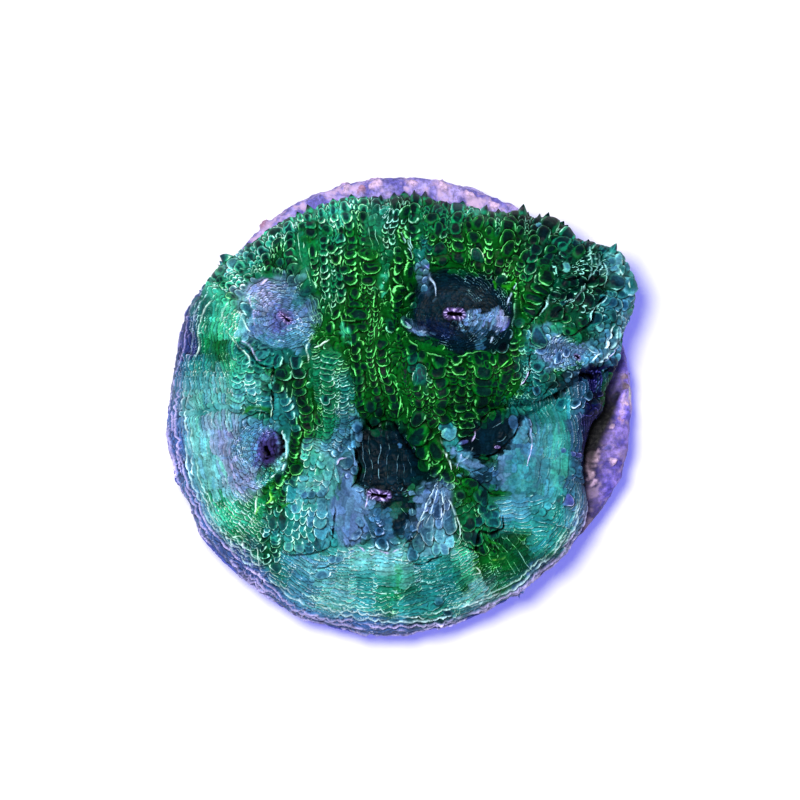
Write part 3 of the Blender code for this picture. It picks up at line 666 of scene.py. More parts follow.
# Single vesicles: centre, length, width, direction of the outer end in degrees, kind of flesh
BEADS = (
    # over polyp B
    (3.2, 12.8, 1.3, 1.0, 95, "sea"), (3.0, 14.5, 1.5, 0.9, 80, "green"),
    (2.9, 16.2, 1.2, 0.9, 70, "rust"), (2.6, 15.5, 1.0, 1.3, 85, "green"),
    (6.2, 12.5, 1.2, 1.1, 90, "grape"), (6.1, 13.8, 1.0, 1.1, 90, "green"),
    (6.4, 15.0, 1.3, 0.9, 75, "green"), (8.7, 12.9, 1.1, 1.1, 90, "green"),
    (8.6, 13.7, 1.1, 1.1, 90, "green"), (8.9, 15.0, 1.3, 0.9, 95, "green"),
    (9.2, 15.8, 0.9, 0.9, 90, "green"), (8.2, 10.6, 1.1, 1.1, 100, "grape"),
    (10.3, 12.4, 1.1, 1.0, 90, "green"), (10.9, 13.5, 1.0, 1.1, 85, "green"),
    (12.4, 12.7, 1.0, 1.1, 90, "green"), (12.6, 13.7, 0.9, 0.8, 90, "green"),
    (11.3, 14.8, 0.8, 0.8, 80, "pale"), (14.6, 12.6, 1.1, 1.1, 70, "green"),
    # right of polyp B
    (11.8, 11.6, 1.0, 1.3, 80, "green"), (11.9, 10.8, 1.0, 1.2, -100, "green"),
    (11.5, 9.9, 1.0, 1.4, -110, "green"), (11.0, 8.9, 1.0, 1.4, -115, "green"),
    (10.7, 7.8, 1.0, 1.3, -125, "green"), (9.6, 6.8, 0.9, 0.8, -100, "grape"),
    (11.2, 6.0, 1.8, 1.1, -90, "green"),
    # left of polyp B
    (0.6, 11.1, 1.5, 0.9, 95, "green"), (-0.4, 9.9, 0.9, 1.0, 120, "green"),
    (0.5, 9.1, 0.9, 1.1, 110, "green"), (-0.3, 12.6, 0.9, 0.7, 100, "green"),
    (-0.7, 16.4, 1.5, 0.7, 85, "rust"), (0.4, 15.8, 1.1, 1.2, 90, "green"),
    (1.0, 8.4, 0.6, 0.6, 90, "grape"), (1.9, 9.7, 0.7, 0.6, 90, "slate"),
    (-1.0, 6.6, 1.5, 0.9, -70, "sea"), (2.3, 16.9, 0.9, 1.0, 75, "green"),
    # crown left of the valley
    (-3.0, 15.5, 1.1, 1.0, 90, "green"), (-2.8, 13.5, 1.0, 1.5, -90, "green"),
    (-2.8, 12.5, 1.0, 1.6, -90, "green"), (-2.6, 11.5, 0.9, 1.4, -90, "green"),
    (-2.6, 10.6, 1.0, 1.4, -90, "green"), (-5.6, 12.9, 1.0, 1.1, -80, "green"),
    (-5.1, 12.0, 1.0, 1.1, -70, "green"), (-4.4, 11.1, 1.0, 1.1, -75, "green"),
    (-4.2, 10.3, 0.9, 1.1, -75, "green"), (-3.7, 9.4, 0.9, 1.1, -85, "green"),
    (-3.7, 8.5, 0.9, 1.1, -90, "green"), (-3.5, 7.6, 1.0, 1.2, -85, "green"),
    (-3.4, 6.6, 0.8, 1.0, -85, "green"), (-3.4, 5.1, 0.9, 1.1, 90, "green"),
    (-2.9, 3.2, 0.9, 0.9, 90, "green"), (-2.4, 0.2, 1.2, 1.2, -80, "green"),
    (-5.6, 6.4, 1.1, 0.9, 90, "green"), (-7.5, 9.6, 1.3, 1.3, 100, "grape"),
    (-8.1, 14.6, 0.9, 1.0, 100, "green"), (-7.8, 13.5, 0.8, 0.9, 100, "green"),
    (-6.2, 14.4, 0.9, 0.8, 90, "green"), (-7.8, 15.5, 0.9, 0.8, 95, "green"),
    (-5.0, 14.4, 0.8, 0.7, 110, "green"),
    # upper left edge
    (-10.5, 14.3, 0.6, 1.1, 110, "rust"), (-12.5, 13.3, 0.8, 0.8, 130, "green"),
    (-12.4, 12.3, 0.7, 1.0, 140, "rust"), (-10.3, 13.4, 0.6, 1.0, 110, "grape"),
    (-9.9, 11.8, 0.8, 0.8, 110, "grape"), (-13.1, 11.2, 0.6, 0.6, 150, "green"),
    (-14.9, 11.3, 0.6, 0.6, 150, "green"), (-14.8, 10.5, 0.6, 0.8, 160, "green"),
    (-14.3, 10.0, 0.9, 0.7, 160, "green"), (-13.6, 9.0, 0.9, 0.7, 150, "green"),
    (-12.6, 8.2, 1.1, 0.9, 160, "grape"), (-11.4, 15.2, 0.8, 0.6, 120, "rust"),
    # under polyp A and down the left wall
    (-9.4, 3.0, 1.3, 1.2, -95, "green"), (-9.8, 1.8, 1.2, 1.0, -95, "green"),
    (-7.7, -1.5, 1.0, 0.9, -80, "green"), (-6.9, -0.9, 1.1, 0.8, -80, "green"),
    (-8.6, -2.6, 1.2, 0.7, -70, "green"), (-8.5, -5.1, 1.0, 1.1, -90, "green"),
    (-8.6, -6.2, 1.0, 0.7, -95, "green"), (-9.8, -6.0, 1.3, 1.0, -100, "green"),
    (-10.6, -9.2, 1.5, 0.9, -110, "rust"), (-9.7, -9.1, 1.6, 0.9, -100, "rust"),
    (-6.2, 0.7, 0.8, 0.9, -90, "teal"), (-10.4, -13.3, 1.0, 0.9, -120, "grape"),
    # stacks and the pale scales beneath them
    (-8.9, -7.3, 0.7, 0.7, -90, "pale"), (-8.3, -7.3, 0.7, 0.6, -90, "pale"),
    (-7.7, -7.2, 0.8, 0.7, -90, "blue"), (-7.1, -7.2, 0.8, 0.7, -90, "slate"),
    (-6.4, -7.1, 0.9, 0.7, -90, "slate"), (-8.6, -8.2, 0.9, 0.8, -90, "pale"),
    (-9.4, -11.3, 1.2, 0.9, -100, "pale"), (-8.5, -11.4, 1.2, 0.9, -95, "pale"),
    (-7.7, -11.3, 1.3, 0.9, -90, "slate"), (-6.9, -11.1, 1.3, 1.0, -80, "grape"),
    (-6.5, -13.4, 0.8, 1.2, -85, "slate"), (-5.4, -12.2, 0.7, 1.4, -80, "blue"),
    # left and below polyp D
    (-3.4, -2.3, 1.1, 0.7, -90, "blue"), (-3.6, -1.6, 0.8, 1.0, -80, "slate"),
    (-4.5, -4.4, 1.0, 1.3, -45, "grape"), (-3.8, -5.0, 0.9, 0.8, -80, "slate"),
    (-4.8, -8.4, 1.0, 0.7, -90, "blue"), (-5.1, -9.5, 1.0, 0.6, -90, "blue"),
    (-3.6, -9.4, 0.8, 0.7, -80, "blue"), (-3.9, -10.4, 0.9, 1.1, -50, "blue"),
    (-2.1, -8.6, 0.7, 0.6, -90, "slate"), (-1.0, -8.3, 0.5, 0.7, -70, "slate"),
    (-1.8, -10.2, 0.8, 0.9, -90, "slate"), (-1.6, -11.2, 1.2, 1.0, -90, "slate"),
    (0.8, -11.9, 1.4, 1.1, -80, "slate"), (2.2, -10.3, 1.8, 1.1, -85, "slate"),
    (2.9, -11.3, 1.3, 0.8, -90, "pale"), (3.6, -11.3, 1.3, 0.8, -85, "pale"),
    (4.1, -9.2, 2.2, 1.3, -85, "slate"), (3.0, -8.3, 1.6, 0.8, -85, "slate"),
    (-0.2, -4.2, 1.2, 0.9, 100, "dark"), (0.0, -2.9, 0.5, 0.4, 90, "slate"),
    (-2.1, -1.2, 0.7, 0.9, -80, "grape"),
    # middle field
    (1.7, 2.6, 1.9, 1.1, 85, "grape"), (2.0, 3.9, 0.9, 1.0, 85, "green"),
    (1.4, 0.5, 0.9, 1.1, -90, "green"), (1.5, -0.7, 1.3, 1.3, -85, "sea"),
    (1.7, -2.0, 2.0, 1.7, -85, "green"), (2.0, -3.4, 1.3, 1.3, -80, "green"),
    (3.2, 0.1, 1.1, 1.1, -80, "green"), (4.9, 0.3, 0.9, 1.3, -80, "green"),
    (5.5, -0.4, 0.9, 1.3, -75, "green"), (5.4, -1.3, 0.8, 1.2, -80, "green"),
    (5.4, -2.0, 0.7, 1.1, -80, "green"), (4.6, 3.0, 0.9, 1.1, -90, "green"),
    (4.5, 3.8, 0.9, 0.9, -90, "green"), (7.4, 4.1, 0.9, 0.8, -90, "green"),
    (7.5, 2.3, 0.8, 1.1, -90, "green"), (7.5, 1.6, 0.7, 1.1, -85, "green"),
    (9.3, 3.5, 0.9, 1.1, -60, "green"), (9.3, 2.8, 0.8, 1.1, -60, "green"),
    (7.3, 0.4, 0.7, 0.9, -80, "green"), (6.1, 3.5, 0.9, 0.8, -90, "green"),
    # ridge between polyps D and E
    (4.1, -1.9, 1.5, 1.2, -100, "pale"), (5.6, -6.4, 0.9, 1.5, 80, "green"),
    (5.6, -7.6, 2.4, 1.7, -85, "green"), (3.1, -3.3, 1.9, 1.0, -75, "green"),
    (1.9, -4.4, 1.0, 1.3, -75, "green"), (3.0, -4.8, 1.0, 1.1, -60, "green"),
    (3.9, -5.4, 1.6, 0.9, -60, "green"), (6.8, -7.2, 2.0, 0.9, -88, "sea"),
    (6.8, -8.4, 1.0, 0.9, -90, "sea"), (6.5, -9.4, 1.0, 1.0, -90, "teal"),
    (7.6, -8.1, 0.6, 0.9, -90, "teal"), (7.6, -8.8, 0.9, 1.1, -85, "teal"),
    (7.6, -9.4, 1.2, 1.3, -85, "teal"), (5.6, -10.4, 1.2, 1.1, -95, "grape"),
    (6.1, -11.4, 0.9, 0.8, -80, "green"), (3.0, -15.8, 0.8, 0.8, -80, "slate"),
    (3.6, -16.8, 0.7, 0.9, -80, "slate"),
    # right lobes and the far polyp
    (5.3, -2.9, 0.5, 0.5, 90, "violet"), (9.3, -1.2, 0.7, 0.6, 0, "slate"),
    (7.2, -0.9, 0.9, 0.6, -90, "dark"), (13.2, -3.3, 0.6, 0.5, 0, "violet"),
    (14.1, -3.6, 0.6, 0.5, 0, "violet"), (14.6, -3.7, 0.5, 0.5, 0, "violet"),
    (12.9, -7.5, 0.7, 0.8, -10, "grape"), (13.6, -7.6, 0.8, 1.0, -10, "violet"),
    (15.4, 0.9, 1.0, 0.8, -40, "slate"), (14.5, 0.1, 0.9, 0.8, -60, "slate"),
    (13.3, 0.4, 1.2, 0.9, -90, "teal"), (11.8, 2.7, 0.8, 0.9, -60, "grape"),
    (11.2, 1.6, 0.9, 0.8, -60, "slate"), (11.2, 3.5, 0.9, 0.9, -60, "teal"),
    (12.7, 4.3, 1.1, 0.6, -80, "slate"), (13.4, 4.6, 0.9, 0.6, -80, "slate"),
    (17.3, 7.5, 1.1, 0.9, -60, "grape"), (17.3, 11.5, 0.6, 0.9, -60, "pale"),
    (16.3, 10.4, 0.9, 0.9, 0, "sea"), (16.1, 9.4, 0.9, 0.8, -20, "sea"), (15.4, 8.6, 0.9, 0.9, -30, "sea"),
    (14.3, 9.6, 0.8, 0.9, -40, "sea"), (14.8, 7.3, 0.9, 1.0, -50, "green"),
    (13.8, 6.5, 0.8, 1.1, -75, "green"), (13.4, 7.5, 0.7, 0.9, -60, "green"),
    (13.3, 8.7, 0.7, 0.7, -45, "teal"), (18.0, 9.2, 0.7, 0.7, -20, "teal"),
    (16.2, 6.7, 0.9, 0.7, -60, "pale"), (13.6, 11.4, 0.9, 0.7, -60, "pale"),
)

# Pointed vesicles along the upper edge: centre, length, width, direction of the tip
TIPS = (
    (-10.5, 15.5, 1.1, 0.6, 115), (-8.8, 16.2, 0.9, 0.6, 105), (-7.8, 16.5, 1.0, 0.8, 100),
    (-5.6, 17.4, 1.1, 0.8, 95), (-3.9, 17.3, 1.0, 0.6, 95), (-0.7, 17.5, 1.4, 0.7, 92),
    (0.2, 17.7, 2.2, 0.9, 90), (2.1, 17.6, 2.0, 0.9, 88), (5.0, 17.1, 2.1, 0.9, 88),
    (7.0, 16.0, 0.9, 0.8, 80), (9.8, 16.2, 1.5, 1.2, 65), (10.4, 16.3, 1.0, 0.6, 65),
    (12.0, 15.7, 1.0, 0.9, 60), (13.2, 15.1, 0.8, 0.6, 55), (13.6, 15.0, 0.8, 0.6, 55),
    (15.6, 13.7, 0.8, 0.6, 45), (17.2, 12.9, 0.8, 0.8, 40), (-12.9, 13.8, 0.8, 0.8, 130),
    (-15.2, 11.9, 0.8, 0.6, 145), (1.0, 17.3, 0.9, 0.8, 90), (8.1, 15.9, 0.8, 0.6, 75),
    (-1.8, 17.1, 0.9, 0.6, 90), (3.6, 16.8, 0.9, 0.6, 90), (11.3, 15.7, 0.8, 0.6, 62),
)

# Lines on the skin: a paint, or "edge" for the edge colour of the place; half-width; rise, or the depth of a
# furrow where it is negative; strength; and for each line of that pen the points it runs through
LINES = (
    # crevices and shadows, painted black: painted shade in the furrows and painted shadows under overhanging
    # folds
    ("black", 0.08, -0.5, 1.0, (((12.9, 10.9), (12.1, 9.4), (11.1, 7.6), (10.2, 6.6)),)),
    ("teal_edge", 0.04, 0.1, 0.9, (((12.3, 9.2), (11.7, 8.2), (11.2, 7.5)),)),
    ("black", 0.07, -0.4, 1.0, (((15.0, 10.9), (13.8, 10.4), (12.9, 10.7)),)),
    ("black", 0.09, -0.4, 1.0, (((16.9, 9.4), (16.0, 8.2), (15.3, 6.9), (14.2, 6.0), (13.0, 5.9)),)),
    ("black", 0.06, -0.3, 1.0, (
        ((16.5, 12.6), (16.3, 11.2), (15.4, 10.0), (14.4, 9.2), (13.2, 8.2), (12.2, 7.0)),
    )),
    ("teal_edge", 0.04, 0.14, 0.9, (
        ((14.7, 6.4), (15.2, 6.8), (15.5, 7.8), (15.9, 8.2), (16.5, 8.6), (16.9, 9.4)),
        ((13.3, 8.6), (14.2, 9.0), (15.0, 9.8), (15.5, 10.6), (16.0, 11.2), (15.8, 12.6)),
        ((15.2, 10.1), (15.8, 11.0), (16.2, 11.6), (16.1, 12.8)),
    )),
    ("teal_edge", 0.04, 0.12, 0.8, (
        ((15.4, 11.0), (15.6, 12.0), (15.5, 13.2)),
        ((16.7, 10.0), (16.9, 11.0), (16.6, 12.0)),
    )),
    ("black", 0.18, -0.5, 1.0, (
        ((17.2, 3.3), (16.0, 2.7), (14.6, 2.5), (13.4, 1.5), (12.3, 0.8), (11.2, 0.4)),
    )),
    ("black", 0.12, -0.4, 1.0, (
        ((-4.4, -1.4), (-3.8, -0.9), (-3.0, -0.9), (-2.3, -1.6), (-1.6, -1.2), (-0.9, -1.0), (-0.3, -1.6),
         (0.3, -2.6), (1.0, -3.8), (1.8, -4.8)),
    )),
    ("black", 0.13, -0.5, 1.0, (((-3.9, -3.3), (-3.5, -4.4), (-3.4, -5.3), (-3.6, -6.0), (-4.1, -6.4)),)),
    ("black", 0.11, -0.4, 1.0, (((-10.4, 4.0), (-10.5, 2.4), (-10.5, 0.6), (-10.4, -0.8)),)),
    ("mint_edge", 0.05, 0.15, 0.9, (((-10.7, 1.6), (-10.8, 0.4), (-10.6, -0.6), (-10.3, -1.1)),)),
    ("black", 0.08, -0.3, 1.0, (((-13.2, 5.4), (-12.4, 4.6), (-11.8, 3.9), (-11.2, 3.4), (-10.5, 3.3)),)),
    ("lilac", 0.04, 0.1, 0.6, (((-13.1, 5.6), (-12.3, 4.9), (-11.7, 4.2), (-11.3, 3.8)),)),
    ("mint_edge", 0.045, 0.1, 0.8, (((-14.1, 6.4), (-13.5, 5.2), (-12.9, 4.4), (-12.2, 3.4)),)),
    ("black", 0.08, -0.3, 1.0, (((-13.0, -1.0), (-12.4, -0.7), (-11.8, -0.4), (-10.9, -0.4)),)),
    ("lime", 0.18, 0.1, 0.8, (((-12.9, -0.5), (-12.2, 0.1), (-11.2, 0.1), (-10.6, -0.6)),)),
    ("black", 0.2, -0.4, 1.0, (((-10.3, -1.9), (-9.9, -2.5), (-9.8, -3.2), (-10.0, -4.0)),)),
    ("black", 0.05, -0.2, 0.5, (
        ((-9.7, -11.9), (-8.6, -12.1), (-7.6, -12.0), (-6.6, -11.7), (-6.2, -10.9)),
    )),
    ("black", 0.06, -0.3, 1.0, (
        ((-5.3, -12.6), (-6.2, -13.0), (-7.2, -13.1)),
        ((1.0, -12.7), (1.8, -12.8), (2.6, -12.4), (3.4, -12.1)),
    )),
    ("black", 0.1, -0.4, 1.0, (
        ((5.0, -11.2), (6.0, -11.6), (6.4, -10.2), (7.4, -10.2), (8.3, -9.8), (8.4, -8.9)),
    )),
    ("black", 0.08, -0.3, 1.0, (((4.6, -5.2), (5.6, -5.7), (6.4, -6.2), (7.4, -7.0), (8.6, -7.1)),)),
    ("black", 0.09, -0.3, 1.0, (((9.9, -0.8), (9.5, -2.0), (8.6, -2.9), (7.2, -3.9), (5.9, -3.9)),)),
    ("black", 0.08, -0.3, 1.0, (
        ((8.7, 0.1), (7.4, -0.2), (6.6, -0.9), (6.2, -1.8), (5.0, -2.6), (4.4, -3.2)),
    )),
    ("black", 0.08, -0.4, 1.0, (((1.6, -9.2), (1.2, -10.4), (0.2, -11.4)),)),
    ("black", 0.08, -0.3, 1.0, (
        ((-5.4, -8.0), (-5.4, -9.6), (-5.6, -10.8)),
        ((3.9, 12.1), (3.4, 11.6), (2.6, 11.7)),
    )),
    # pale wisps and streaks
    ("blue_edge", 0.07, 0.05, 0.8, (((1.8, 12.0), (2.3, 11.3), (2.4, 10.6), (2.8, 9.9), (2.9, 9.2)),)),
    ("violet", 0.2, 0.05, 0.8, (((1.6, 11.9), (1.9, 11.4), (2.3, 11.8)),)),
    ("blue_edge", 0.08, 0.05, 0.8, (((9.5, 10.2), (9.2, 9.5), (8.9, 8.9), (8.7, 8.4)),)),
    ("blue_edge", 0.12, 0.04, 0.5, (((0.1, 7.0), (0.6, 6.5), (1.4, 6.1), (2.2, 6.5)),)),
    ("blue_edge", 0.07, 0.06, 0.8, (((7.9, 6.3), (7.5, 5.9), (7.3, 5.3)),)),
    ("violet", 0.1, 0.04, 0.6, (((8.9, 8.3), (8.9, 7.6), (8.7, 6.8), (8.2, 6.2)),)),
    ("lilac", 0.1, 0.1, 1.0, (((-12.0, 10.1), (-11.5, 10.1), (-10.9, 10.5)),)),
    ("lilac", 0.06, 0.1, 0.8, (((-12.5, 9.7), (-12.4, 8.7), (-12.2, 7.8), (-11.9, 6.8)),)),
    ("mint_edge", 0.045, 0.08, 0.8, (
        ((-7.1, 6.0), (-7.4, 5.3), (-7.7, 4.5), (-7.5, 3.6)),
        ((-6.9, 4.8), (-6.3, 5.3), (-5.8, 5.6)),
        ((-14.0, 9.0), (-14.3, 8.2), (-14.6, 7.4), (-14.2, 6.6)),
        ((-13.4, 8.0), (-12.9, 7.0), (-12.3, 6.2)),
    )),
    ("blue", 0.09, 0.08, 0.6, (((-0.9, -7.2), (0.3, -7.1), (1.3, -6.7), (2.4, -6.2), (3.2, -5.7)),)),
    ("blue", 0.4, 0.1, 0.9, (((1.3, -8.8), (1.8, -7.9), (2.4, -6.9), (2.9, -6.2)),)),
    ("ice", 0.045, 0.1, 0.8, (((3.1, -5.9), (2.4, -7.4), (1.6, -9.1), (1.1, -10.6), (0.1, -11.4)),)),
    ("ice", 0.04, 0.1, 0.8, (
        ((3.2, -6.2), (2.8, -7.6), (2.2, -9.4)),
        ((3.5, -6.6), (3.6, -8.2), (3.3, -9.6)),
    )),
    ("ice", 0.045, 0.1, 0.8, (((3.9, -7.2), (4.5, -8.6), (4.9, -9.8), (4.6, -10.8)),)),
    ("lilac", 0.045, 0.14, 1.0, (((10.6, -0.9), (10.7, -2.4), (10.6, -3.8), (10.3, -4.8)),)),
    ("sky", 0.24, 0.05, 0.8, (((10.2, -0.7), (10.2, -1.8), (10.0, -2.8)),)),
    ("lilac", 0.05, 0.1, 0.7, (((6.3, -1.3), (6.0, -2.4), (5.4, -3.2), (4.8, -4.0), (4.5, -4.9)),)),
    ("ice", 0.06, 0.15, 0.9, (((5.9, -3.2), (5.4, -3.9), (4.8, -4.6)),)),
    ("blue", 0.3, 0.12, 0.9, (((4.2, -3.2), (4.4, -4.2), (5.6, -4.6), (6.8, -4.8)),)),
    ("sky", 0.13, 0.08, 0.8, (((4.5, -5.5), (5.4, -5.3), (6.2, -5.2)),)),
    ("ice", 0.06, 0.12, 0.9, (((3.2, -2.4), (3.5, -3.2), (3.9, -4.0), (4.1, -5.0)),)),
    ("lilac", 0.07, 0.12, 0.9, (((-5.3, -4.6), (-5.0, -4.1), (-4.6, -4.0)),)),
    ("lilac", 0.06, 0.12, 0.8, (((-2.9, -6.7), (-2.8, -7.4), (-2.9, -8.2)),)),
    ("ice", 0.07, 0.08, 0.8, (((-9.7, -1.9), (-9.4, -3.0), (-9.5, -4.2), (-10.1, -5.4), (-11.4, -6.4)),)),
    ("lilac", 0.1, 0.06, 0.6, (
        ((-14.0, -2.2), (-14.0, -3.6), (-13.8, -5.2), (-13.0, -6.9), (-12.2, -7.3)),
    )),
    ("lilac", 0.07, 0.1, 0.8, (
        ((-3.6, -11.2), (-2.9, -11.7), (-1.9, -11.8), (-0.9, -12.0), (0.0, -11.6)),
    )),
    ("mint_edge", 0.05, 0.1, 0.8, (((5.3, -11.6), (5.6, -12.6), (6.4, -13.6), (5.4, -13.7)),)),
    ("lime", 0.2, 0.1, 0.9, (((-10.5, -6.6), (-10.4, -7.4), (-9.9, -8.0), (-9.0, -7.8)),)),
    ("lime_edge", 0.06, 0.12, 0.9, (((-10.6, -6.6), (-10.5, -7.6), (-11.6, -8.2), (-12.0, -9.2)),)),
    ("mint_edge", 0.06, 0.12, 0.9, (
        ((-11.7, -7.0), (-11.8, -8.2), (-12.2, -9.4)),
        ((-12.8, -11.4), (-13.2, -10.6), (-13.9, -10.6)),
    )),
    ("lime", 0.12, 0.05, 0.5, (((6.4, -9.9), (7.2, -10.8), (8.2, -11.2)),)),
    ("lime_edge", 0.05, 0.08, 0.8, (((7.4, -12.4), (8.2, -12.3), (8.8, -12.0)),)),
    ("mint", 0.3, 0.05, 0.3, (((12.6, -1.4), (12.7, -3.6), (12.5, -5.4), (13.2, -6.9)),)),
    # the dark discs' long ribs
    ("edge", 0.03, 0.08, 0.8, (((-3.1, -1.8), (-3.2, -3.4), (-3.0, -4.8), (-3.2, -6.2)),)),
    ("edge", 0.03, 0.08, 0.9, (((-2.6, -1.6), (-2.7, -3.2), (-2.4, -4.8), (-2.6, -6.4)),)),
    ("edge", 0.04, 0.1, 0.9, (((-1.9, -2.0), (-1.7, -3.4), (-1.9, -4.4), (-1.7, -6.2)),)),
    ("edge", 0.03, 0.08, 0.8, (
        ((-1.1, -1.4), (-1.0, -3.0), (-1.2, -4.8), (-1.1, -6.4)),
        ((-0.3, -2.0), (-0.2, -3.6), (-0.4, -5.0), (-0.2, -6.4)),
    )),
    ("edge", 0.03, 0.08, 0.7, (
        ((0.4, -3.2), (0.7, -4.4), (1.0, -5.6), (1.8, -6.2)),
        ((-0.1, -3.4), (0.2, -5.0), (0.4, -6.2), (0.9, -6.8)),
    )),
    ("edge", 0.03, 0.08, 0.8, (
        ((-0.4, -7.8), (0.4, -8.6), (0.9, -9.8), (0.8, -11.0)),
        ((0.4, -7.4), (1.0, -8.4), (0.6, -9.2), (0.2, -10.4)),
        ((5.8, -1.2), (6.8, -1.8), (8.0, -1.4), (9.2, -0.4)),
    )),
    ("edge", 0.03, 0.08, 0.7, (((5.6, -2.2), (6.8, -2.8), (8.2, -2.6), (9.4, -1.6)),)),
    # ribs that run out over the margin's folds
    ("edge", 0.03, 0.1, 0.8, (((7.4, -10.6), (8.6, -12.4), (9.8, -14.2)),)),
    ("edge", 0.03, 0.1, 0.9, (((8.4, -10.2), (9.8, -12.0), (11.0, -13.6)),)),
    ("edge", 0.03, 0.1, 0.8, (((9.2, -10.2), (10.6, -11.6), (12.0, -12.8)),)),
    ("edge", 0.03, 0.1, 0.9, (((6.6, -10.8), (7.6, -12.8), (8.6, -14.8)),)),
    ("edge", 0.03, 0.1, 0.8, (((8.0, -11.0), (9.2, -12.6), (10.4, -14.0)),)),
    ("lilac", 0.04, 0.12, 0.9, (
        ((-12.9, -11.0), (-12.7, -12.4), (-12.3, -13.8)),
        ((-12.4, -11.2), (-12.2, -12.8), (-11.8, -14.2)),
    )),
    ("mint_edge", 0.04, 0.12, 0.9, (((-11.8, -11.4), (-11.6, -12.8), (-11.2, -14.4)),)),
    # pleats along the bare left margin
    ("lilac", 0.04, 0.12, 0.9, (
        ((-15.9, 10.3), (-16.9, 8.6), (-17.5, 7.0), (-17.7, 5.2), (-18.2, 3.4), (-18.7, 1.6)),
    )),
    ("sky_edge", 0.04, 0.12, 0.9, (
        ((-15.5, 10.0), (-16.4, 8.4), (-17.0, 6.8), (-17.1, 5.2), (-17.7, 3.2)),
    )),
    ("lilac", 0.04, 0.12, 0.8, (((-16.6, 9.8), (-17.5, 8.2), (-18.1, 6.4), (-18.2, 4.8), (-18.7, 3.2)),)),
    ("mint_edge", 0.04, 0.12, 0.8, (
        ((-15.2, 9.2), (-16.0, 7.8), (-16.6, 6.2), (-16.5, 5.0), (-17.2, 3.6)),
    )),
    # furrowed skin between the crown's rows
    ("edge", 0.03, 0.1, 0.9, (((-8.5, 15.4), (-8.3, 13.8), (-8.2, 12.4), (-7.8, 10.8)),)),
    ("edge", 0.03, 0.1, 0.8, (((-8.0, 14.8), (-7.9, 13.2), (-7.8, 11.6), (-7.2, 10.0)),)),
    ("edge", 0.03, 0.1, 0.9, (((-7.6, 14.0), (-7.4, 12.6), (-7.3, 11.4), (-6.8, 9.8)),)),
    ("edge", 0.03, 0.1, 0.8, (((-2.8, 16.2), (-2.6, 15.0), (-2.5, 13.8), (-2.2, 12.4)),)),
    ("edge", 0.03, 0.1, 0.9, (
        ((-2.3, 16.6), (-2.2, 15.2), (-2.0, 14.0), (-1.8, 12.8)),
        ((-6.6, 11.8), (-6.4, 10.2), (-6.0, 8.8), (-5.4, 7.2)),
        ((-5.2, 9.8), (-5.0, 8.4), (-4.7, 7.0), (-4.2, 5.4)),
    )),
    ("edge", 0.03, 0.1, 0.8, (((-4.6, 9.0), (-4.4, 7.6), (-4.2, 6.2), (-3.8, 4.8)),)),
    # the valley's long ribs
    ("edge", 0.05, 0.1, 0.9, (
        ((-1.1, 12.4), (-1.0, 10.6), (-0.9, 9.4), (-0.9, 8.2)),
        ((-2.1, 9.6), (-2.3, 8.6), (-2.2, 7.4), (-2.2, 5.6), (-1.9, 4.4)),
        ((-1.6, 8.8), (-1.6, 7.4), (-1.9, 6.0), (-2.1, 4.8), (-1.6, 2.8), (-1.2, 1.2)),
        ((-2.6, 7.8), (-2.6, 6.2), (-2.7, 4.6)),
        ((-4.4, 7.4), (-4.1, 5.8), (-4.0, 4.2), (-3.6, 2.4), (-3.4, 0.6)),
        ((-1.2, 4.2), (-1.0, 2.8), (-0.5, 2.0), (-0.1, 0.6), (-0.3, -1.0)),
        ((-0.2, 4.2), (-0.4, 2.6), (-0.3, 1.4)),
        ((0.5, 1.9), (0.4, 0.9), (0.6, -0.4), (0.6, -1.6), (0.9, -2.6), (1.4, -3.9)),
    )),
    ("mint", 0.45, 0.05, 0.6, (((-4.7, 7.0), (-4.4, 6.0), (-4.1, 5.2)),)),
    ("mint", 0.3, 0.05, 0.7, (((-1.5, 11.6), (-1.3, 10.4), (-1.6, 9.0)),)),
    ("teal_edge", 0.05, 0.08, 0.8, (
        ((-0.1, 14.2), (0.4, 13.2), (1.0, 12.2)),
        ((0.2, 14.2), (0.7, 13.2), (1.3, 12.2)),
        ((0.5, 14.0), (0.9, 13.3), (1.6, 12.4)),
    )),
    # bright skin over polyp B
    ("lime", 0.3, 0.04, 0.8, (((5.2, 16.2), (5.8, 15.8), (6.2, 15.4)),)),
    ("lime", 0.26, 0.1, 0.9, (((7.6, 10.3), (8.2, 9.9), (8.8, 9.9), (9.3, 10.6)),)),
    # round the bowl of polyp B
    ("edge", 0.06, 0.14, 0.9, (((9.6, 9.8), (9.4, 8.6), (9.3, 7.4), (9.0, 6.4)),)),
    ("edge", 0.05, 0.12, 0.8, (
        ((9.8, 9.4), (9.8, 8.2), (10.2, 7.3), (10.8, 7.0)),
        ((10.2, 9.4), (10.3, 8.6), (10.6, 8.1), (11.1, 8.0)),
    )),
    ("green_edge", 0.05, 0.1, 0.8, (
        ((0.3, 6.0), (1.1, 5.0), (2.2, 4.4), (3.6, 3.9)),
        ((4.6, 4.1), (5.4, 4.4), (6.4, 4.5), (7.4, 4.6)),
    )),
    ("edge", 0.05, 0.1, 0.8, (((7.8, 3.2), (8.6, 3.8), (9.4, 4.4)),)),
    # strands round the far lobe
    ("ice", 0.06, 0.14, 0.9, (
        ((17.6, 7.2), (17.2, 6.2), (16.8, 5.2), (16.0, 4.3), (15.0, 3.4)),
        ((17.8, 6.6), (17.5, 5.6), (17.0, 4.8), (16.2, 3.9), (15.0, 3.1)),
    )),
    ("lilac", 0.06, 0.14, 0.9, (((18.0, 7.6), (17.9, 6.2), (17.6, 5.0), (16.9, 4.2), (16.0, 3.5)),)),
    ("pale", 0.22, 0.1, 0.8, (((18.1, 7.8), (17.9, 6.4), (17.6, 5.4), (16.9, 4.6)),)),
    ("ice", 0.05, 0.12, 0.8, (((16.9, 5.8), (16.6, 5.0), (15.8, 4.6), (15.2, 5.0)),)),
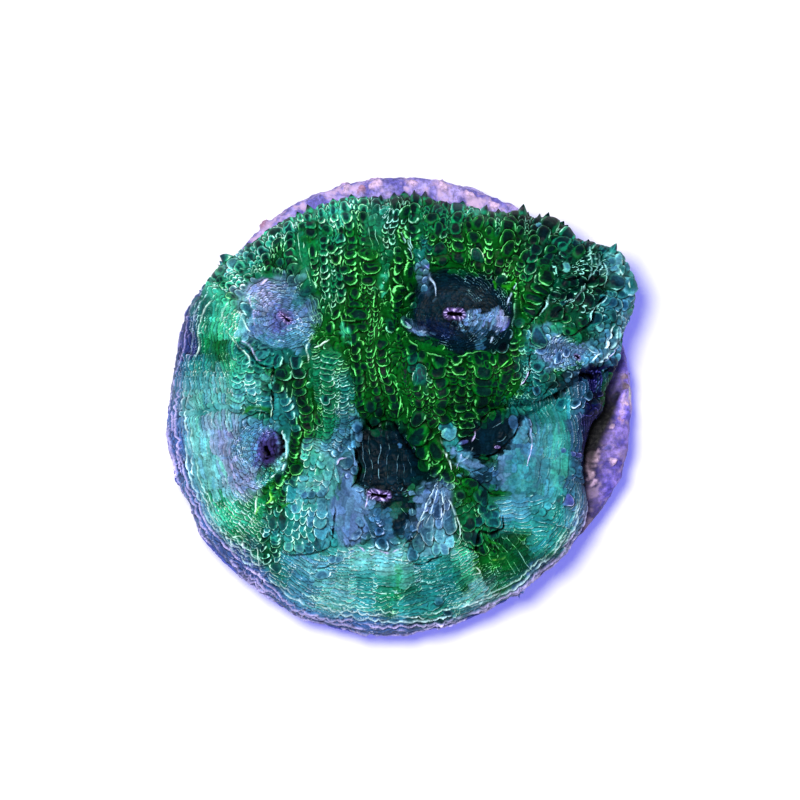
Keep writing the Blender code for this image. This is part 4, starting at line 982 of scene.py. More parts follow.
    ("mint_edge", 0.05, 0.1, 0.8, (((12.1, 5.8), (12.6, 5.9), (13.1, 6.0)),)),
    ("ice", 0.05, 0.12, 0.8, (((12.2, 3.9), (12.6, 3.5), (13.2, 3.5)),)),
    ("ice", 0.05, 0.12, 0.9, (((10.4, 3.9), (10.5, 3.4), (10.1, 2.9), (9.8, 2.2)),)),
    # a furrow painted black as shade
    ("black", 0.05, -0.2, 1.0, (((10.7, 4.8), (10.4, 4.1), (10.5, 3.2), (10.2, 2.4), (9.8, 1.8)),)),
    ("lilac", 0.05, 0.12, 0.9, (((10.3, 3.0), (10.1, 2.4), (9.7, 2.0)),)),
    # a furrow painted black as shade
    ("black", 0.06, -0.2, 1.0, (((12.4, 2.0), (11.9, 1.2), (11.2, 0.5), (10.4, 0.2)),)),
    # far right band of smooth skin
    ("teal", 0.5, 0.06, 0.8, (((18.0, 11.6), (18.6, 10.6), (18.9, 9.4), (18.8, 8.4)),)),
    ("mint_edge", 0.05, 0.08, 0.8, (((17.9, 11.4), (18.3, 10.6), (18.7, 9.8)),)),
)

# Smooth patches: centre, half-widths, turn in degrees, strength
SMOOTH_PATCHES = (
    (9.7, -4.9, 1.7, 2.6, 0, 0.9),
    (-1.6, -4.2, 2.2, 2.9, 0, 0.75),
    (1.0, -5.2, 1.2, 1.6, 30, 0.6),
    (7.6, -2.2, 2.6, 1.4, 30, 0.75),
    (-4.5, -8.4, 1.2, 2.4, 0, 0.75),
    (3.4, 8.9, 2.2, 1.8, 0, 0.4),
    (12.6, -3.6, 1.4, 4.4, 0, 0.4),
    (-15.8, -3.6, 2.2, 2.4, 0, 0.3),
    (9.6, -12.2, 2.2, 1.4, -40, 0.25),
    (-0.2, -9.2, 1.5, 1.8, 0, 0.7),
    (-2.6, -8.6, 1.0, 1.4, 0, 0.4),
    (-2.4, 14.4, 0.6, 2.4, 0, 0.6),
    (-7.9, 12.2, 0.6, 2.6, 5, 0.7),
    (-0.4, -13.6, 1.4, 1.0, 0, 0.4),
)

# Wavy ribbons along the hanging margin: distance from the outline, half-width, rise, paint
RIBBONS = (
    (-1.90, 0.04, 0.10, "aqua_edge"),
    (-1.50, 0.04, 0.12, "ice"),
    (-1.10, 0.05, 0.16, "sky_edge"),
    (-0.72, 0.05, 0.18, "lilac"),
    (-0.36, 0.05, 0.20, "lilac"),
    (0.00, 0.06, 0.22, "lilac"),
    (0.45, 0.07, 0.24, "lilac"),
    (1.00, 0.10, 0.25, "violet"),
)
# The direction of their middle, how far they run each way from it, both in degrees, and their radius
RIBBON_MIDDLE = 243.0
RIBBON_HALF_TURN = 92.0
RIBBON_RADIUS = 18.5

# Growths on the bare rim: centre, size, rise, paint
CRUST_GROWTHS = (
    (-11.4, 15.2, 0.45, 0.30, "crust_brown"),
    (-4.5, 18.1, 0.38, 0.20, "crust_pink"),
    (-2.2, 18.4, 0.52, 0.15, "crust_pink"),
    (-3.2, 17.9, 0.38, 0.15, "crust_brown"),
    (0.9, 18.4, 0.38, 0.20, "crust_pink"),
    (3.4, 18.0, 0.45, 0.20, "crust_pink"),
    (5.6, 17.4, 0.38, 0.20, "crust_pink"),
    (7.6, 16.7, 0.38, 0.15, "crust_pink"),
    (9.8, 16.8, 0.30, 0.15, "crust_pink"),
    (18.3, 2.7, 0.30, 0.20, "crust_pink"),
    (18.3, 1.8, 0.30, 0.20, "crust_pink"),
    (17.6, 0.9, 0.38, 0.15, "crust_dark"),
    (18.7, 0.4, 0.18, 0.10, "crust_bright"),
    (18.2, -1.0, 0.30, 0.10, "crust_brown"),
    (16.9, -1.1, 0.22, 0.10, "crust_pink"),
    (17.4, -1.5, 0.22, 0.10, "crust_pink"),
    (17.2, -3.2, 0.45, 0.20, "crust_dark"),
    (17.3, -4.3, 0.30, 0.20, "crust_pink"),
    (15.7, -4.1, 0.63, 0.20, "crust_bright"),
    (15.6, -5.2, 0.54, 0.20, "crust_bright"),
    (16.2, -3.6, 0.22, 0.20, "crust_pink"),
    (15.9, -6.2, 0.30, 0.15, "crust_pink"),
)

# The grid of the skin: points each way, the steps from one point of a block's underside to the next, how deep
# the underside lies, and the blocks it is cut into, two across by three up
GRID = 721
STEP = 6
SHEET_DEPTH = 0.8
SIDES = ("left", "right")
LEVELS = ("lower", "middle", "upper")
# Half-widths, in grid steps, of the windows that vesicles are pressed in; the steps to a mm of a vesicle; how
# many go in at once; and how far past its rim a vesicle still darkens the skin
WINDOWS = (0, 6, 9, 13, 19, 28, 44)
WINDOW_SCALE = 27.0
AT_ONCE = 300
PAST_RIM = 0.14
# An oral disc's rows thin out towards the lips, so that none is narrower than this
LEAST_ROW = 0.28
# What is kept of each vesicle: place, outward direction, half-length, half-width, height, the numbers of its
# kind and of its own flesh, -1 for the colour of the place, and tone
X, Y, OUT_X, OUT_Y, LENGTH, WIDTH, HEIGHT, KIND, OWN, TONE = range(10)


# ---------------------------------------------------------------------------------------------------------
# Numbers
# ---------------------------------------------------------------------------------------------------------

def linear(colour):
    """Scene-linear red, green and blue of an sRGB colour, 0 to 255: the standard curve's two branches."""
    c = np.asarray(colour, float) / 255.0
    return np.where(c <= 0.04045, c / 12.92, ((c + 0.055) / 1.055) ** 2.4)


def paint(name):
    return np.array(getattr(bpy.context.scene.coral_colours, name))


def ease(low, high, value):
    """0 below low, 1 above high, and 3t^2 - 2t^3 between them."""
    t = np.clip((value - low) / (high - low), 0.0, 1.0)
    return t * t * (3 - 2 * t)


def between(share, start, end):
    return start + share * (end - start)


def lattice(ix, iy, iz, seed):
    """A fixed pseudo-random number, 0 to 1, for each whole-number place: the end digits of a large sine."""
    wave = np.sin(ix * 127.1 + iy * 311.7 + iz * 74.7 + seed * 19.19) * 43758.5453
    return wave - np.floor(wave)


def noise(x, y, z, size, seed):
    """Smooth noise, -1 to 1, with lumps about the given size: eased interpolation between lattice numbers."""
    p = [np.asarray(c, float) / size for c in (x, y, z)]
    cell = [np.floor(c) for c in p]
    u, v, w = [ease(0.0, 1.0, c - f) for c, f in zip(p, cell)]
    total = 0.0
    for i in (0, 1):
        for j in (0, 1):
            for k in (0, 1):
                weight = (u if i else 1 - u) * (v if j else 1 - v) * (w if k else 1 - w)
                total = total + weight * lattice(cell[0] + i, cell[1] + j, cell[2] + k, seed)
    return 2.0 * total - 1.0


def lumps(x, y, z, *layers):
    """A sum of noises, each given as its strength, size and seed."""
    return sum(strength * noise(x, y, z, size, seed) for strength, size, seed in layers)


def hermite(t, start, end, slope_start, slope_end):
    """A cubic Hermite span: two places with the slopes there, at t from 0 to 1."""
    return (
        (1 + 2 * t) * (1 - t) ** 2 * start
        + t * (1 - t) ** 2 * slope_start
        + t**2 * (3 - 2 * t) * end
        + t**2 * (t - 1) * slope_end
    )


def turned(x, y, degrees):
    """x and y as seen along and across a direction."""
    c, s = math.cos(math.radians(degrees)), math.sin(math.radians(degrees))
    return x * c + y * s, y * c - x * s


def round_the_clock(table, degrees):
    """The table's columns at the given directions: a smooth closed curve through its rows."""
    table = np.array(table, float)
    angle = np.concatenate([table[:, 0] - 360.0, table[:, 0], table[:, 0] + 360.0])
    value = np.tile(table[:, 1:], (3, 1))
    slope = np.gradient(value, angle, axis=0)
    degrees = np.mod(degrees, 360.0)
    row = np.searchsorted(angle, degrees, side="right") - 1
    span = angle[row + 1] - angle[row]
    t = ((degrees - angle[row]) / span)[..., None]
    span = span[..., None]
    return hermite(t, value[row], value[row + 1], span * slope[row], span * slope[row + 1])


def past(direction, degrees):
    """How far each direction lies past a given one, -180 to 180 degrees."""
    return np.mod(degrees - direction + 180.0, 360.0) - 180.0


def along_curve(points, share):
    """Places at shares 0 to 1 of the length of a smooth curve through the points: cubic Hermite spans."""
    points = np.asarray(points, float)
    if len(points) == 2:
        return between(share[:, None], points[0], points[1])
    reach = np.concatenate([[0.0], np.cumsum(np.linalg.norm(np.diff(points, axis=0), axis=1))])
    reach /= reach[-1]
    slope = np.gradient(points, reach, axis=0)
    row = np.clip(np.searchsorted(reach, share, side="right") - 1, 0, len(points) - 2)
    span = (reach[row + 1] - reach[row])[:, None]
    t = (share[:, None] - reach[row][:, None]) / span
    return hermite(t, points[row], points[row + 1], span * slope[row], span * slope[row + 1])


# ---------------------------------------------------------------------------------------------------------
# The colony's surface
# ---------------------------------------------------------------------------------------------------------

def line_place(x, y, start, end):
    """How far along the line from start to end each point lies, 0 to 1 and clipped, its distance from the
    line, and its signed distance to the line's right."""
    along = np.subtract(end, start)
    length = math.hypot(*along)
    raw = ((x - start[0]) * along[0] + (y - start[1]) * along[1]) / length**2
    t = np.clip(raw, 0.0, 1.0)
    away = np.hypot(x - start[0] - t * along[0], y - start[1] - t * along[1])
    right = ((x - start[0]) * along[1] - (y - start[1]) * along[0]) / length
    return t, away, right


def flesh_height(x, y):
    """Height of the flesh away from the margin: the general height, bell-shaped swellings, rounded walls,
    less flat-bottomed bowls, furrows and one-sided ledges."""
    height = np.full(np.shape(x), GENERAL_HEIGHT)
    for cx, cy, half_x, half_y, rise in SWELLINGS:
        height = height + rise * np.exp(-(((x - cx) / half_x) ** 2) - ((y - cy) / half_y) ** 2)
    for start, end, half_width, rise_start, rise_end in WALLS:
        t, away, _ = line_place(x, y, start, end)
        height = height + between(t, rise_start, rise_end) * np.exp(-((away / half_width) ** 2))
    for cx, cy, half_length, half_width, turn, depth in ORAL_DISCS:
        along, across = turned(x - cx, y - cy, turn)
        height = height - depth * np.exp(-(((along / half_length) ** 2 + (across / half_width) ** 2) ** 2))
    for start, end, half_width, depth in FURROWS:
        _, away, _ = line_place(x, y, start, end)
        height = height - depth * np.exp(-((away / half_width) ** 2))
    for start, end, depth, reach in LEDGES:
        _, away, right = line_place(x, y, start, end)
        height = height - depth * ease(-0.1, 0.5, right) * np.exp(-((away / reach) ** 2))
    return height


def bare_share(degrees):
    """1 where the disc's rim is bare and encrusted, 0 where the flesh covers it."""
    return 1.0 / (1.0 + np.exp((np.abs(past(BARE_DIRECTION, degrees)) - BARE_HALF_TURN) / BARE_FADE))


def disc_radius(degrees):
    return DISC_RADIUS + CRUST_THICKNESS * bare_share(degrees)


def outline_at(degrees):
    return round_the_clock(OUTLINE, degrees)[..., 0]


def flesh_point(degrees, reach):
    """A point of the colony's skin, in a direction from the axis and at a reach: 0 on the axis, 1 at the
    outline, and from there to 2 round the edge and down its side to its lower edge."""
    outline = outline_at(degrees)
    outermost, lower_edge, squareness = np.moveaxis(round_the_clock(MARGIN, degrees), -1, 0)
    hangs = outermost < HANGS_BELOW
    lower_edge = np.where(hangs, HANGING_EDGE, lower_edge)
    share = np.minimum(reach, 1.0)
    down = np.clip(reach - 1.0, 0.0, 1.0)
    radius = outline * share
    angle = np.radians(degrees)
    height = flesh_height(radius * np.cos(angle), radius * np.sin(angle))
    standing = np.sqrt(np.maximum(1.0 - share**squareness, 0.0))
    height = between(standing, outermost, height)
    radius = radius - np.where(hangs, HANGING_TUCK, TUCK) * down**2
    height = between(down, height, lower_edge)
    return np.stack([radius * np.cos(angle), radius * np.sin(angle), height], axis=-1)


# ---------------------------------------------------------------------------------------------------------
# The grid of the skin
# ---------------------------------------------------------------------------------------------------------

def wrap(a, b):
    """Direction in degrees and share of the radius of a place on a square, -1 to 1 each way: each square ring
    round the middle becomes a round one."""
    wide = np.abs(a) >= np.abs(b)
    radius = np.where(wide, a, b)
    turn = 45.0 * np.where(wide, b, a) / np.where(radius == 0.0, 1.0, radius)
    degrees = np.where(wide, turn, 90.0 - turn)
    return np.where(radius < 0.0, degrees + 180.0, degrees), np.abs(radius)


def unwrap(degrees, share):
    """The place on the square of a direction and a share of the radius: wrap the other way round."""
    past_corner = np.mod(degrees + 45.0, 360.0)
    side = np.floor(past_corner / 90.0).astype(int)
    off = (past_corner - 90.0 * side - 45.0) / 45.0 * share
    return np.choose(side, [share, -off, -share, off]), np.choose(side, [off, share, -off, -share])


def skin_grid():
    """The colony's skin on a square grid wrapped round: for each grid point its flat place, as if the sides
    were laid out flat round the outline, its distance past the outline, its point and outward normal."""
    side = np.linspace(-1.0, 1.0, GRID)
    degrees, share = wrap(*np.meshgrid(side, side, indexing="ij"))
    outline = outline_at(degrees)
    away = share * (outline + SIDE_RUN)
    reach = np.where(away < outline, away / outline, 1.0 + (away - outline) / SIDE_RUN)
    skin = flesh_point(degrees, reach)
    normal = np.cross(np.gradient(skin, axis=0), np.gradient(skin, axis=1))
    normal /= np.linalg.norm(normal, axis=-1, keepdims=True)
    x, y = away * np.cos(np.radians(degrees)), away * np.sin(np.radians(degrees))
    return {"x": x, "y": y, "degrees": degrees, "margin": away - outline, "skin": skin, "normal": normal}


def grid_place(x, y):
    """Whole grid steps of the grid point nearest each flat place."""
    degrees = np.degrees(np.arctan2(y, x))
    share = np.minimum(np.hypot(x, y) / (outline_at(degrees) + SIDE_RUN), 1.0)
    return [np.rint((side + 1.0) * 0.5 * (GRID - 1)).astype(int) for side in unwrap(degrees, share)]


def zone_colours(x, y):
    """Core, flesh and edge colour at each place: the green of the colony with each zone's soft, uneven
    ellipse laid over it in turn."""
    colours = [np.tile(paint(name), (x.size, 1)) for name in FLESH["green"]]
    x, y = x.reshape(-1), y.reshape(-1)
    uneven_x = x + lumps(x, y, 0.0, (0.6, 1.6, 1), (0.3, 0.6, 2))
    uneven_y = y + lumps(x, y, 0.0, (0.6, 1.6, 3), (0.3, 0.6, 4))
    for cx, cy, half_length, half_width, turn, soft, strength, kind in ZONES:
        along, across = turned(uneven_x - cx, uneven_y - cy, turn)
        away = np.hypot(along / half_length, across / half_width)
        near = np.nonzero(away < 1.0 + 0.5 * soft)[0]
        share = strength * (1.0 - ease(1.0 - 0.5 * soft, 1.0 + 0.5 * soft, away[near])[:, None])
        for colour, name in zip(colours, FLESH[kind]):
            colour[near] = between(share, colour[near], paint(name))
    return colours


# ---------------------------------------------------------------------------------------------------------
# Vesicles
# ---------------------------------------------------------------------------------------------------------

def across_guides(rails, u):
    """Curves between the guides at shares 0 to 1 from the first to the last: cubic Hermite spans."""
    straight = np.broadcast_to(rails[1:2] - rails[:1], rails.shape)
    slope = np.gradient(rails, axis=0) if len(rails) > 2 else straight
    place = u * (len(rails) - 1)
    row = np.minimum(place.astype(int), len(rails) - 2)
    t = (place - row)[:, None, None]
    return hermite(t, rails[row], rails[row + 1], slope[row], slope[row + 1])


def of_kind(rows, name):
    """One value of the look of each vesicle's kind."""
    return np.array([look[name] for look in KINDS.values()])[rows[:, KIND].astype(int)]


def row_vesicles(left, right, kind, row, seed):
    """The vesicles of one row, between its left and right edge. Phase counts them along it, one for each
    pitch of length."""
    look = KINDS[kind]
    middle = 0.5 * (left + right)
    tangent = np.gradient(middle, axis=0)
    tangent /= np.linalg.norm(tangent, axis=1, keepdims=True)
    gap = right - left
    width = np.abs(gap[:, 0] * tangent[:, 1] - gap[:, 1] * tangent[:, 0])
    pitch = np.clip(width * look["pitch"], look["least"], look["most"])
    length = np.linalg.norm(np.diff(middle, axis=0), axis=1)
    phase = np.concatenate([[0.0], np.cumsum(2.0 * length / (pitch[1:] + pitch[:-1]))])
    number = np.arange(int(phase[-1]), dtype=float)
    random = [lattice(float(row), number, float(k), seed) for k in range(7)]
    at = number + 0.2 + 0.6 * lattice(float(row), 0.0, 9.0, seed) + 0.24 * (random[0] - 0.5)
    x, y, tx, ty, wide, long = (np.interp(at, phase, v)
                                for v in (*middle.T, *tangent.T, width, pitch))
    x = x + ty * wide * 0.16 * (random[1] - 0.5)
    y = y - tx * wide * 0.16 * (random[1] - 0.5)
    # thin kinds stand in good order, broad scales and folds at odds
    loose = 0.3 if look["square"] > 8 else 1.8 if look["square"] == 6 else 1.0
    angle = np.arctan2(ty, tx) + np.radians(24.0) * loose * (random[2] - 0.5)
    size = (1.0 + 0.32 * loose * (random[3] - 0.5)) * (1.0 + 0.14 * noise(x, y, 0.0, 2.6, seed + 5))
    half_length = long * look["length"] * size
    half_width = 0.5 * wide * look["width"] * (0.9 + 0.2 * random[4])
    height = look["height"] * np.minimum(half_length, half_width) * (1.0 + 0.3 * loose * (random[5] - 0.5))
    kinds = np.full(len(x), list(KINDS).index(kind))
    rows = np.stack([x, y, np.cos(angle), np.sin(angle), half_length, half_width, height,
                     kinds, np.full(len(x), -1.0), random[6] - 0.5], axis=1)
    return rows[random[5] > 0.02]


def fan_vesicles(fan, seed):
    """The vesicles of a fan of rows, and the fan's border."""
    name, kind, pattern, over, guides = fan
    rails = np.stack([along_curve(g, np.linspace(0.0, 1.0, GUIDE_POINTS)) for g in guides])
    if over:
        last = rails[:, -1:]
        outwards = last / np.linalg.norm(last, axis=2, keepdims=True)
        further = last + outwards * np.linspace(0.0, over, OVER_POINTS + 1)[None, 1:, None]
        rails = np.concatenate([rails, further], axis=1)
    widths = np.array([ROW_WIDTHS[letter] for letter in pattern])
    widths = widths * (0.65 + 0.7 * lattice(np.arange(len(pattern)) * 1.0, 0.0, 17.0, seed))
    edges = across_guides(rails, np.concatenate([[0.0], np.cumsum(widths)]) / widths.sum())
    cut = round(POINTS_INWARDS.get(name, 0.0) * (edges.shape[1] - 1))
    rows = []
    for k, letter in enumerate(pattern):
        if cut > 2:
            inner = "fold" if letter == "f" else kind
            rows.append(row_vesicles(edges[k, cut::-1], edges[k + 1, cut::-1], inner, k, seed))
        if cut < edges.shape[1] - 3:
            outer = "fold" if letter == "f" and cut == 0 else kind
            rows.append(row_vesicles(edges[k, cut:], edges[k + 1, cut:], outer, k, seed + 1))
    border = np.concatenate([edges[0], edges[1:-1, -1], edges[-1, ::-1], edges[-2:0:-1, 0]])
    return np.concatenate(rows), border


def polyp_vesicles(polyp, seed):
    """The low rows of an oral disc, which run from its lips to its rim and thin out towards the lips."""
    disc, (kind, count), mouth, (reach, *_) = polyp
    angle = np.linspace(0.0, 2.0 * math.pi, count + 1)

    def ring(middle_x, middle_y, half_length, half_width, turn, wider=0.0):
        along, across = (half_length + wider) * np.cos(angle), (half_width + wider) * np.sin(angle)
        x, y = turned(along, across, -turn)
        return np.stack([middle_x + x, middle_y + y], axis=1)

    inner = ring(*mouth, wider=reach)
    first = round((mouth[-1] - disc[-1]) / 360.0 * count)
    inner = np.roll(inner[:-1], first, axis=0)
    inner = np.concatenate([inner, inner[:1]])
    outer = ring(*disc)
    share = np.linspace(0.0, 1.0, 24)[None, :, None]
    lines = between(share, inner[:, None], outer[:, None])
    rows = []
    for k in range(count):
        whole = 4 if k % 4 == 0 else 2 if k % 2 == 0 else 1
        gap = np.linalg.norm(lines[k + 1] - lines[k], axis=1)
        first = int(np.argmax(gap * whole > LEAST_ROW))
        spread = np.clip(LEAST_ROW / gap[first:, None], 1.0, whole)
        middle = 0.5 * (lines[k, first:] + lines[k + 1, first:])
        half = 0.5 * (lines[k + 1, first:] - lines[k, first:]) * spread
        rows.append(row_vesicles(middle - half, middle + half, kind, k, seed))
    return np.concatenate(rows)


def placed_vesicles():
    """The single vesicles and the pointed ones along the upper edge."""
    rows = [(*b[:5], "single", b[5]) for b in BEADS] + [(*t, "tip", "leaf") for t in TIPS]
    x, y, length, width, degrees = np.array([r[:5] for r in rows]).T
    looks = [list(KINDS).index(r[5]) for r in rows]
    own = [list(FLESH).index(r[6]) for r in rows]
    height = 0.5 * np.minimum(length, width) * np.array([KINDS[r[5]]["height"] for r in rows])
    angle = np.radians(degrees)
    return np.stack([x, y, np.cos(angle), np.sin(angle), 0.5 * length, 0.5 * width, height, looks, own,
                     0.0 * x], axis=1)


def inside(rows, border):
    """Which vesicles have their middle inside a closed border: an odd count of crossings."""
    x, y = rows[:, X, None], rows[:, Y, None]
    ax, ay = border.T
    bx, by = np.roll(border, -1, axis=0).T
    crosses = (ay > y) != (by > y)
    at = ax + (y - ay) * (bx - ax) / np.where(by == ay, 1.0, by - ay)
    return (crosses & (x < at)).sum(axis=1) % 2 == 1


def all_vesicles(seed):
    """Every vesicle, but those under a later fan, on an oral disc or where a single one is placed."""
    kept = np.zeros((0, TONE + 1))
    for number, fan in enumerate(FANS):
        new, border = fan_vesicles(fan, seed + number)
        kept = np.concatenate([kept[~inside(kept, border)], new])
    for number, polyp in enumerate(POLYPS):
        middle_x, middle_y, half_length, half_width, turn = polyp[0]
        along, across = turned(kept[:, X] - middle_x, kept[:, Y] - middle_y, turn)
        uneven = 0.12 * noise(kept[:, X], kept[:, Y], 0.0, 1.0, 30 + number)
        kept = kept[np.hypot(along / half_length, across / half_width) > 1.0 + uneven]
        kept = np.concatenate([kept, polyp_vesicles(polyp, seed + 50 + number)])
    placed = placed_vesicles()
    dx, dy = kept[:, X, None] - placed[:, X], kept[:, Y, None] - placed[:, Y]
    along = (dx * placed[:, OUT_X] + dy * placed[:, OUT_Y]) / placed[:, LENGTH]
    across = (dy * placed[:, OUT_X] - dx * placed[:, OUT_Y]) / placed[:, WIDTH]
    return np.concatenate([kept[(np.hypot(along, across) > 0.85).all(axis=1)], placed])


def press(grid, rows):
    """Presses the vesicles into the skin's grid. A vesicle is a dome over a rounded ellipse, with a steep
    outer side, and an inner side that melts into the skin; the highest at a point counts. Gives height, which
    vesicle, place along and across it, distance to its rim, and how dark the painted shadow line beyond a rim
    is."""
    melt, dish, square = (of_kind(rows, name) for name in ("melt", "dish", "square"))
    middle = np.stack(grid_place(rows[:, X], rows[:, Y]), axis=1)
    window = np.ceil((np.maximum(rows[:, LENGTH], rows[:, WIDTH]) + 0.5) * WINDOW_SCALE).astype(int)
    x, y = grid["x"].reshape(-1), grid["y"].reshape(-1)
    flat_x = x + lumps(x, y, 0.0, (0.3, 2.4, 31), (0.14, 0.9, 35), (0.06, 0.4, 32))
    flat_y = y + lumps(x, y, 0.0, (0.3, 2.4, 33), (0.14, 0.9, 36), (0.06, 0.4, 34))
    tops, rims = [], []
    for low, high in zip(WINDOWS[:-1], WINDOWS[1:]):
        chosen = np.nonzero((window > low) & (window <= high))[0]
        steps = np.arange(-high, high + 1)
        for start in range(0, len(chosen), AT_ONCE):
            which = chosen[start : start + AT_ONCE]
            i = middle[which, 0, None, None] + steps[None, :, None]
            j = middle[which, 1, None, None] + steps[None, None, :]
            point = np.clip(i, 0, GRID - 1) * GRID + np.clip(j, 0, GRID - 1)
            on = (i == np.clip(i, 0, GRID - 1)) & (j == np.clip(j, 0, GRID - 1))
            x, y, out_x, out_y, length, width = (v[:, None, None] for v in rows[which, :HEIGHT].T)
            dx, dy = flat_x[point] - x, flat_y[point] - y
            p = (dx * out_x + dy * out_y) / length
            q = (dy * out_x - dx * out_y) / width
            spread = (np.abs(p) ** 2.3 + np.abs(q) ** 2.3) ** (1 / 2.3)
            rim = (1.0 / np.maximum(spread, 0.05) - 1.0) * np.hypot(dx, dy)
            on &= rim > -PAST_RIM
            n = np.broadcast_to(which[:, None, None], p.shape)[on]
            point, p, q, spread, rim = point[on], p[on], q[on], spread[on], rim[on]
            body = spread < 1.0
            s = spread[body]
            dome = (1.0 - s ** square[n[body]]) ** np.where(square[n[body]] > 1.0, 0.5, 1.0)
            inner = ease(-1.05, -1.05 + melt[n[body]], p[body])
            top = 1.0 - dish[n[body]] * (1.0 - ease(0.0, 0.8, s))
            value = rows[n[body], HEIGHT] * dome * inner * top * (0.85 + 0.25 * p[body])
            tops.append((point[body], value, n[body], p[body], q[body], rim[body]))
            # painted shadow: a dark line on the low skin just past each vesicle's outer rim
            foot = ~body & (p > 0.0)
            dark = (1.0 - ease(0.02, 0.13, -rim[foot])) * ease(0.1, 0.6, p[foot])
            rims.append((point[foot], dark, rows[n[foot], HEIGHT]))
    point, value, which, p, q, rim = (np.concatenate(v) for v in zip(*tops))
    order = np.argsort(value, kind="stable")
    result = {"height": value, "which": which, "p": p, "q": q, "rim": rim}
    for key, values in result.items():
        kept = np.full(GRID * GRID, -1 if key == "which" else 0.0).astype(values.dtype)
        kept[point[order]] = values[order]
        result[key] = kept
    point, dark, local = (np.concatenate(v) for v in zip(*rims))
    order = np.argsort(dark, kind="stable")
    seen = result["height"][point[order]] < 0.6 * local[order]
    result["dark"] = np.zeros(GRID * GRID)
    result["dark"][point[order][seen]] = dark[order][seen]
    return result


def fillers(height, seed):
    """Small vesicles on a jittered lattice wherever the skin is still bare."""
    side = np.arange(-24.0, 24.0, 0.5)
    x, y = (v.reshape(-1) for v in np.meshgrid(side, side))
    random = [lattice(x, y, float(k), seed) for k in range(6)]
    x, y = x + 0.3 * (random[0] - 0.5), y + 0.3 * (random[1] - 0.5)
    i, j = grid_place(x, y)
    within = np.hypot(x, y) < outline_at(np.degrees(np.arctan2(y, x))) + 2.0
    bare = np.ones(len(x), bool)
    for di, dj in ((0, 0), (3, 0), (-3, 0), (0, 3), (0, -3)):
        near = np.clip(i + di, 0, GRID - 1) * GRID + np.clip(j + dj, 0, GRID - 1)
        bare &= height[near] < 0.02
    angle = np.arctan2(y, x) + 1.2 * (random[2] - 0.5)
    half_length, half_width = 0.2 + 0.14 * random[3], 0.22 + 0.16 * random[4]
    rows = np.stack([x, y, np.cos(angle), np.sin(angle), half_length, half_width, 0.6 * half_length,
                     np.full(len(x), list(KINDS).index("filler")), np.full(len(x), -1.0), random[5] - 0.5],
                    axis=1)
    return rows[within & bare]


# ---------------------------------------------------------------------------------------------------------
# Lines, mouths and margin
# ---------------------------------------------------------------------------------------------------------

def cover(look, near, share, names):
    """Lays paints over the core, flesh and edge colours of some points."""
    for colour, name in zip(look["colours"], names):
        colour[near] = between(share[:, None], colour[near], paint(name))


def draw_lines(grid, look):
    """Lays each line on the skin: full to its half-width, soft beyond it, and thinner towards its ends. A
    ridge or a furrow goes with it."""
    x, y = grid["x"].reshape(-1), grid["y"].reshape(-1)
    uneven_x = x + 0.12 * noise(x, y, 0.0, 0.7, 61)
    uneven_y = y + 0.12 * noise(x, y, 0.0, 0.7, 62)
    strokes = [(*pen, points) for *pen, lines in LINES for points in lines]
    for name, half_width, rise, strength, points in strokes:
        path = along_curve(points, np.linspace(0.0, 1.0, 8 * len(points)))
        low, high = path.min(axis=0) - 3.0 * half_width, path.max(axis=0) + 3.0 * half_width
        beside = (uneven_x > low[0]) & (uneven_x < high[0])
        near = np.nonzero(beside & (uneven_y > low[1]) & (uneven_y < high[1]))[0]
        px, py = uneven_x[near, None], uneven_y[near, None]
        start, along = path[:-1], np.diff(path, axis=0)
        t = np.clip(((px - start[:, 0]) * along[:, 0] + (py - start[:, 1]) * along[:, 1])
                    / (along**2).sum(axis=1), 0.0, 1.0)
        away = np.hypot(px - start[:, 0] - t * along[:, 0], py - start[:, 1] - t * along[:, 1])
        part = np.argmin(away, axis=1)
        each = np.arange(len(near))
        away, passed = away[each, part], (part + t[each, part]) / len(along)
        thin = 0.35 + 0.65 * ease(0.0, 0.25, np.minimum(passed, 1.0 - passed))
        share = 1.0 - ease(0.4, 1.5, away / (half_width * thin))
        near, share = near[share > 0.0], share[share > 0.0]
        patch = noise(x[near], y[near], 0.0, 0.4, 63)
        whole = 0.35 if name == "black" or half_width < 0.05 else 0.0
        share = share * between(ease(-0.5, 0.4, patch), whole, 1.0)
        look["lift"][near] += rise * share
        if half_width > 0.12 and rise > 0.0:
            look["lift"][near] -= 0.5 * share * look["height"][near]
        if name == "edge":
            look["crest"][near] = np.maximum(look["crest"][near], between(share * strength, 0.5, 1.0))
        else:
            cover(look, near, share * strength, (name, name, name))
        if name != "black":
            look["shade"][near] = between(share, look["shade"][near], 1.0)


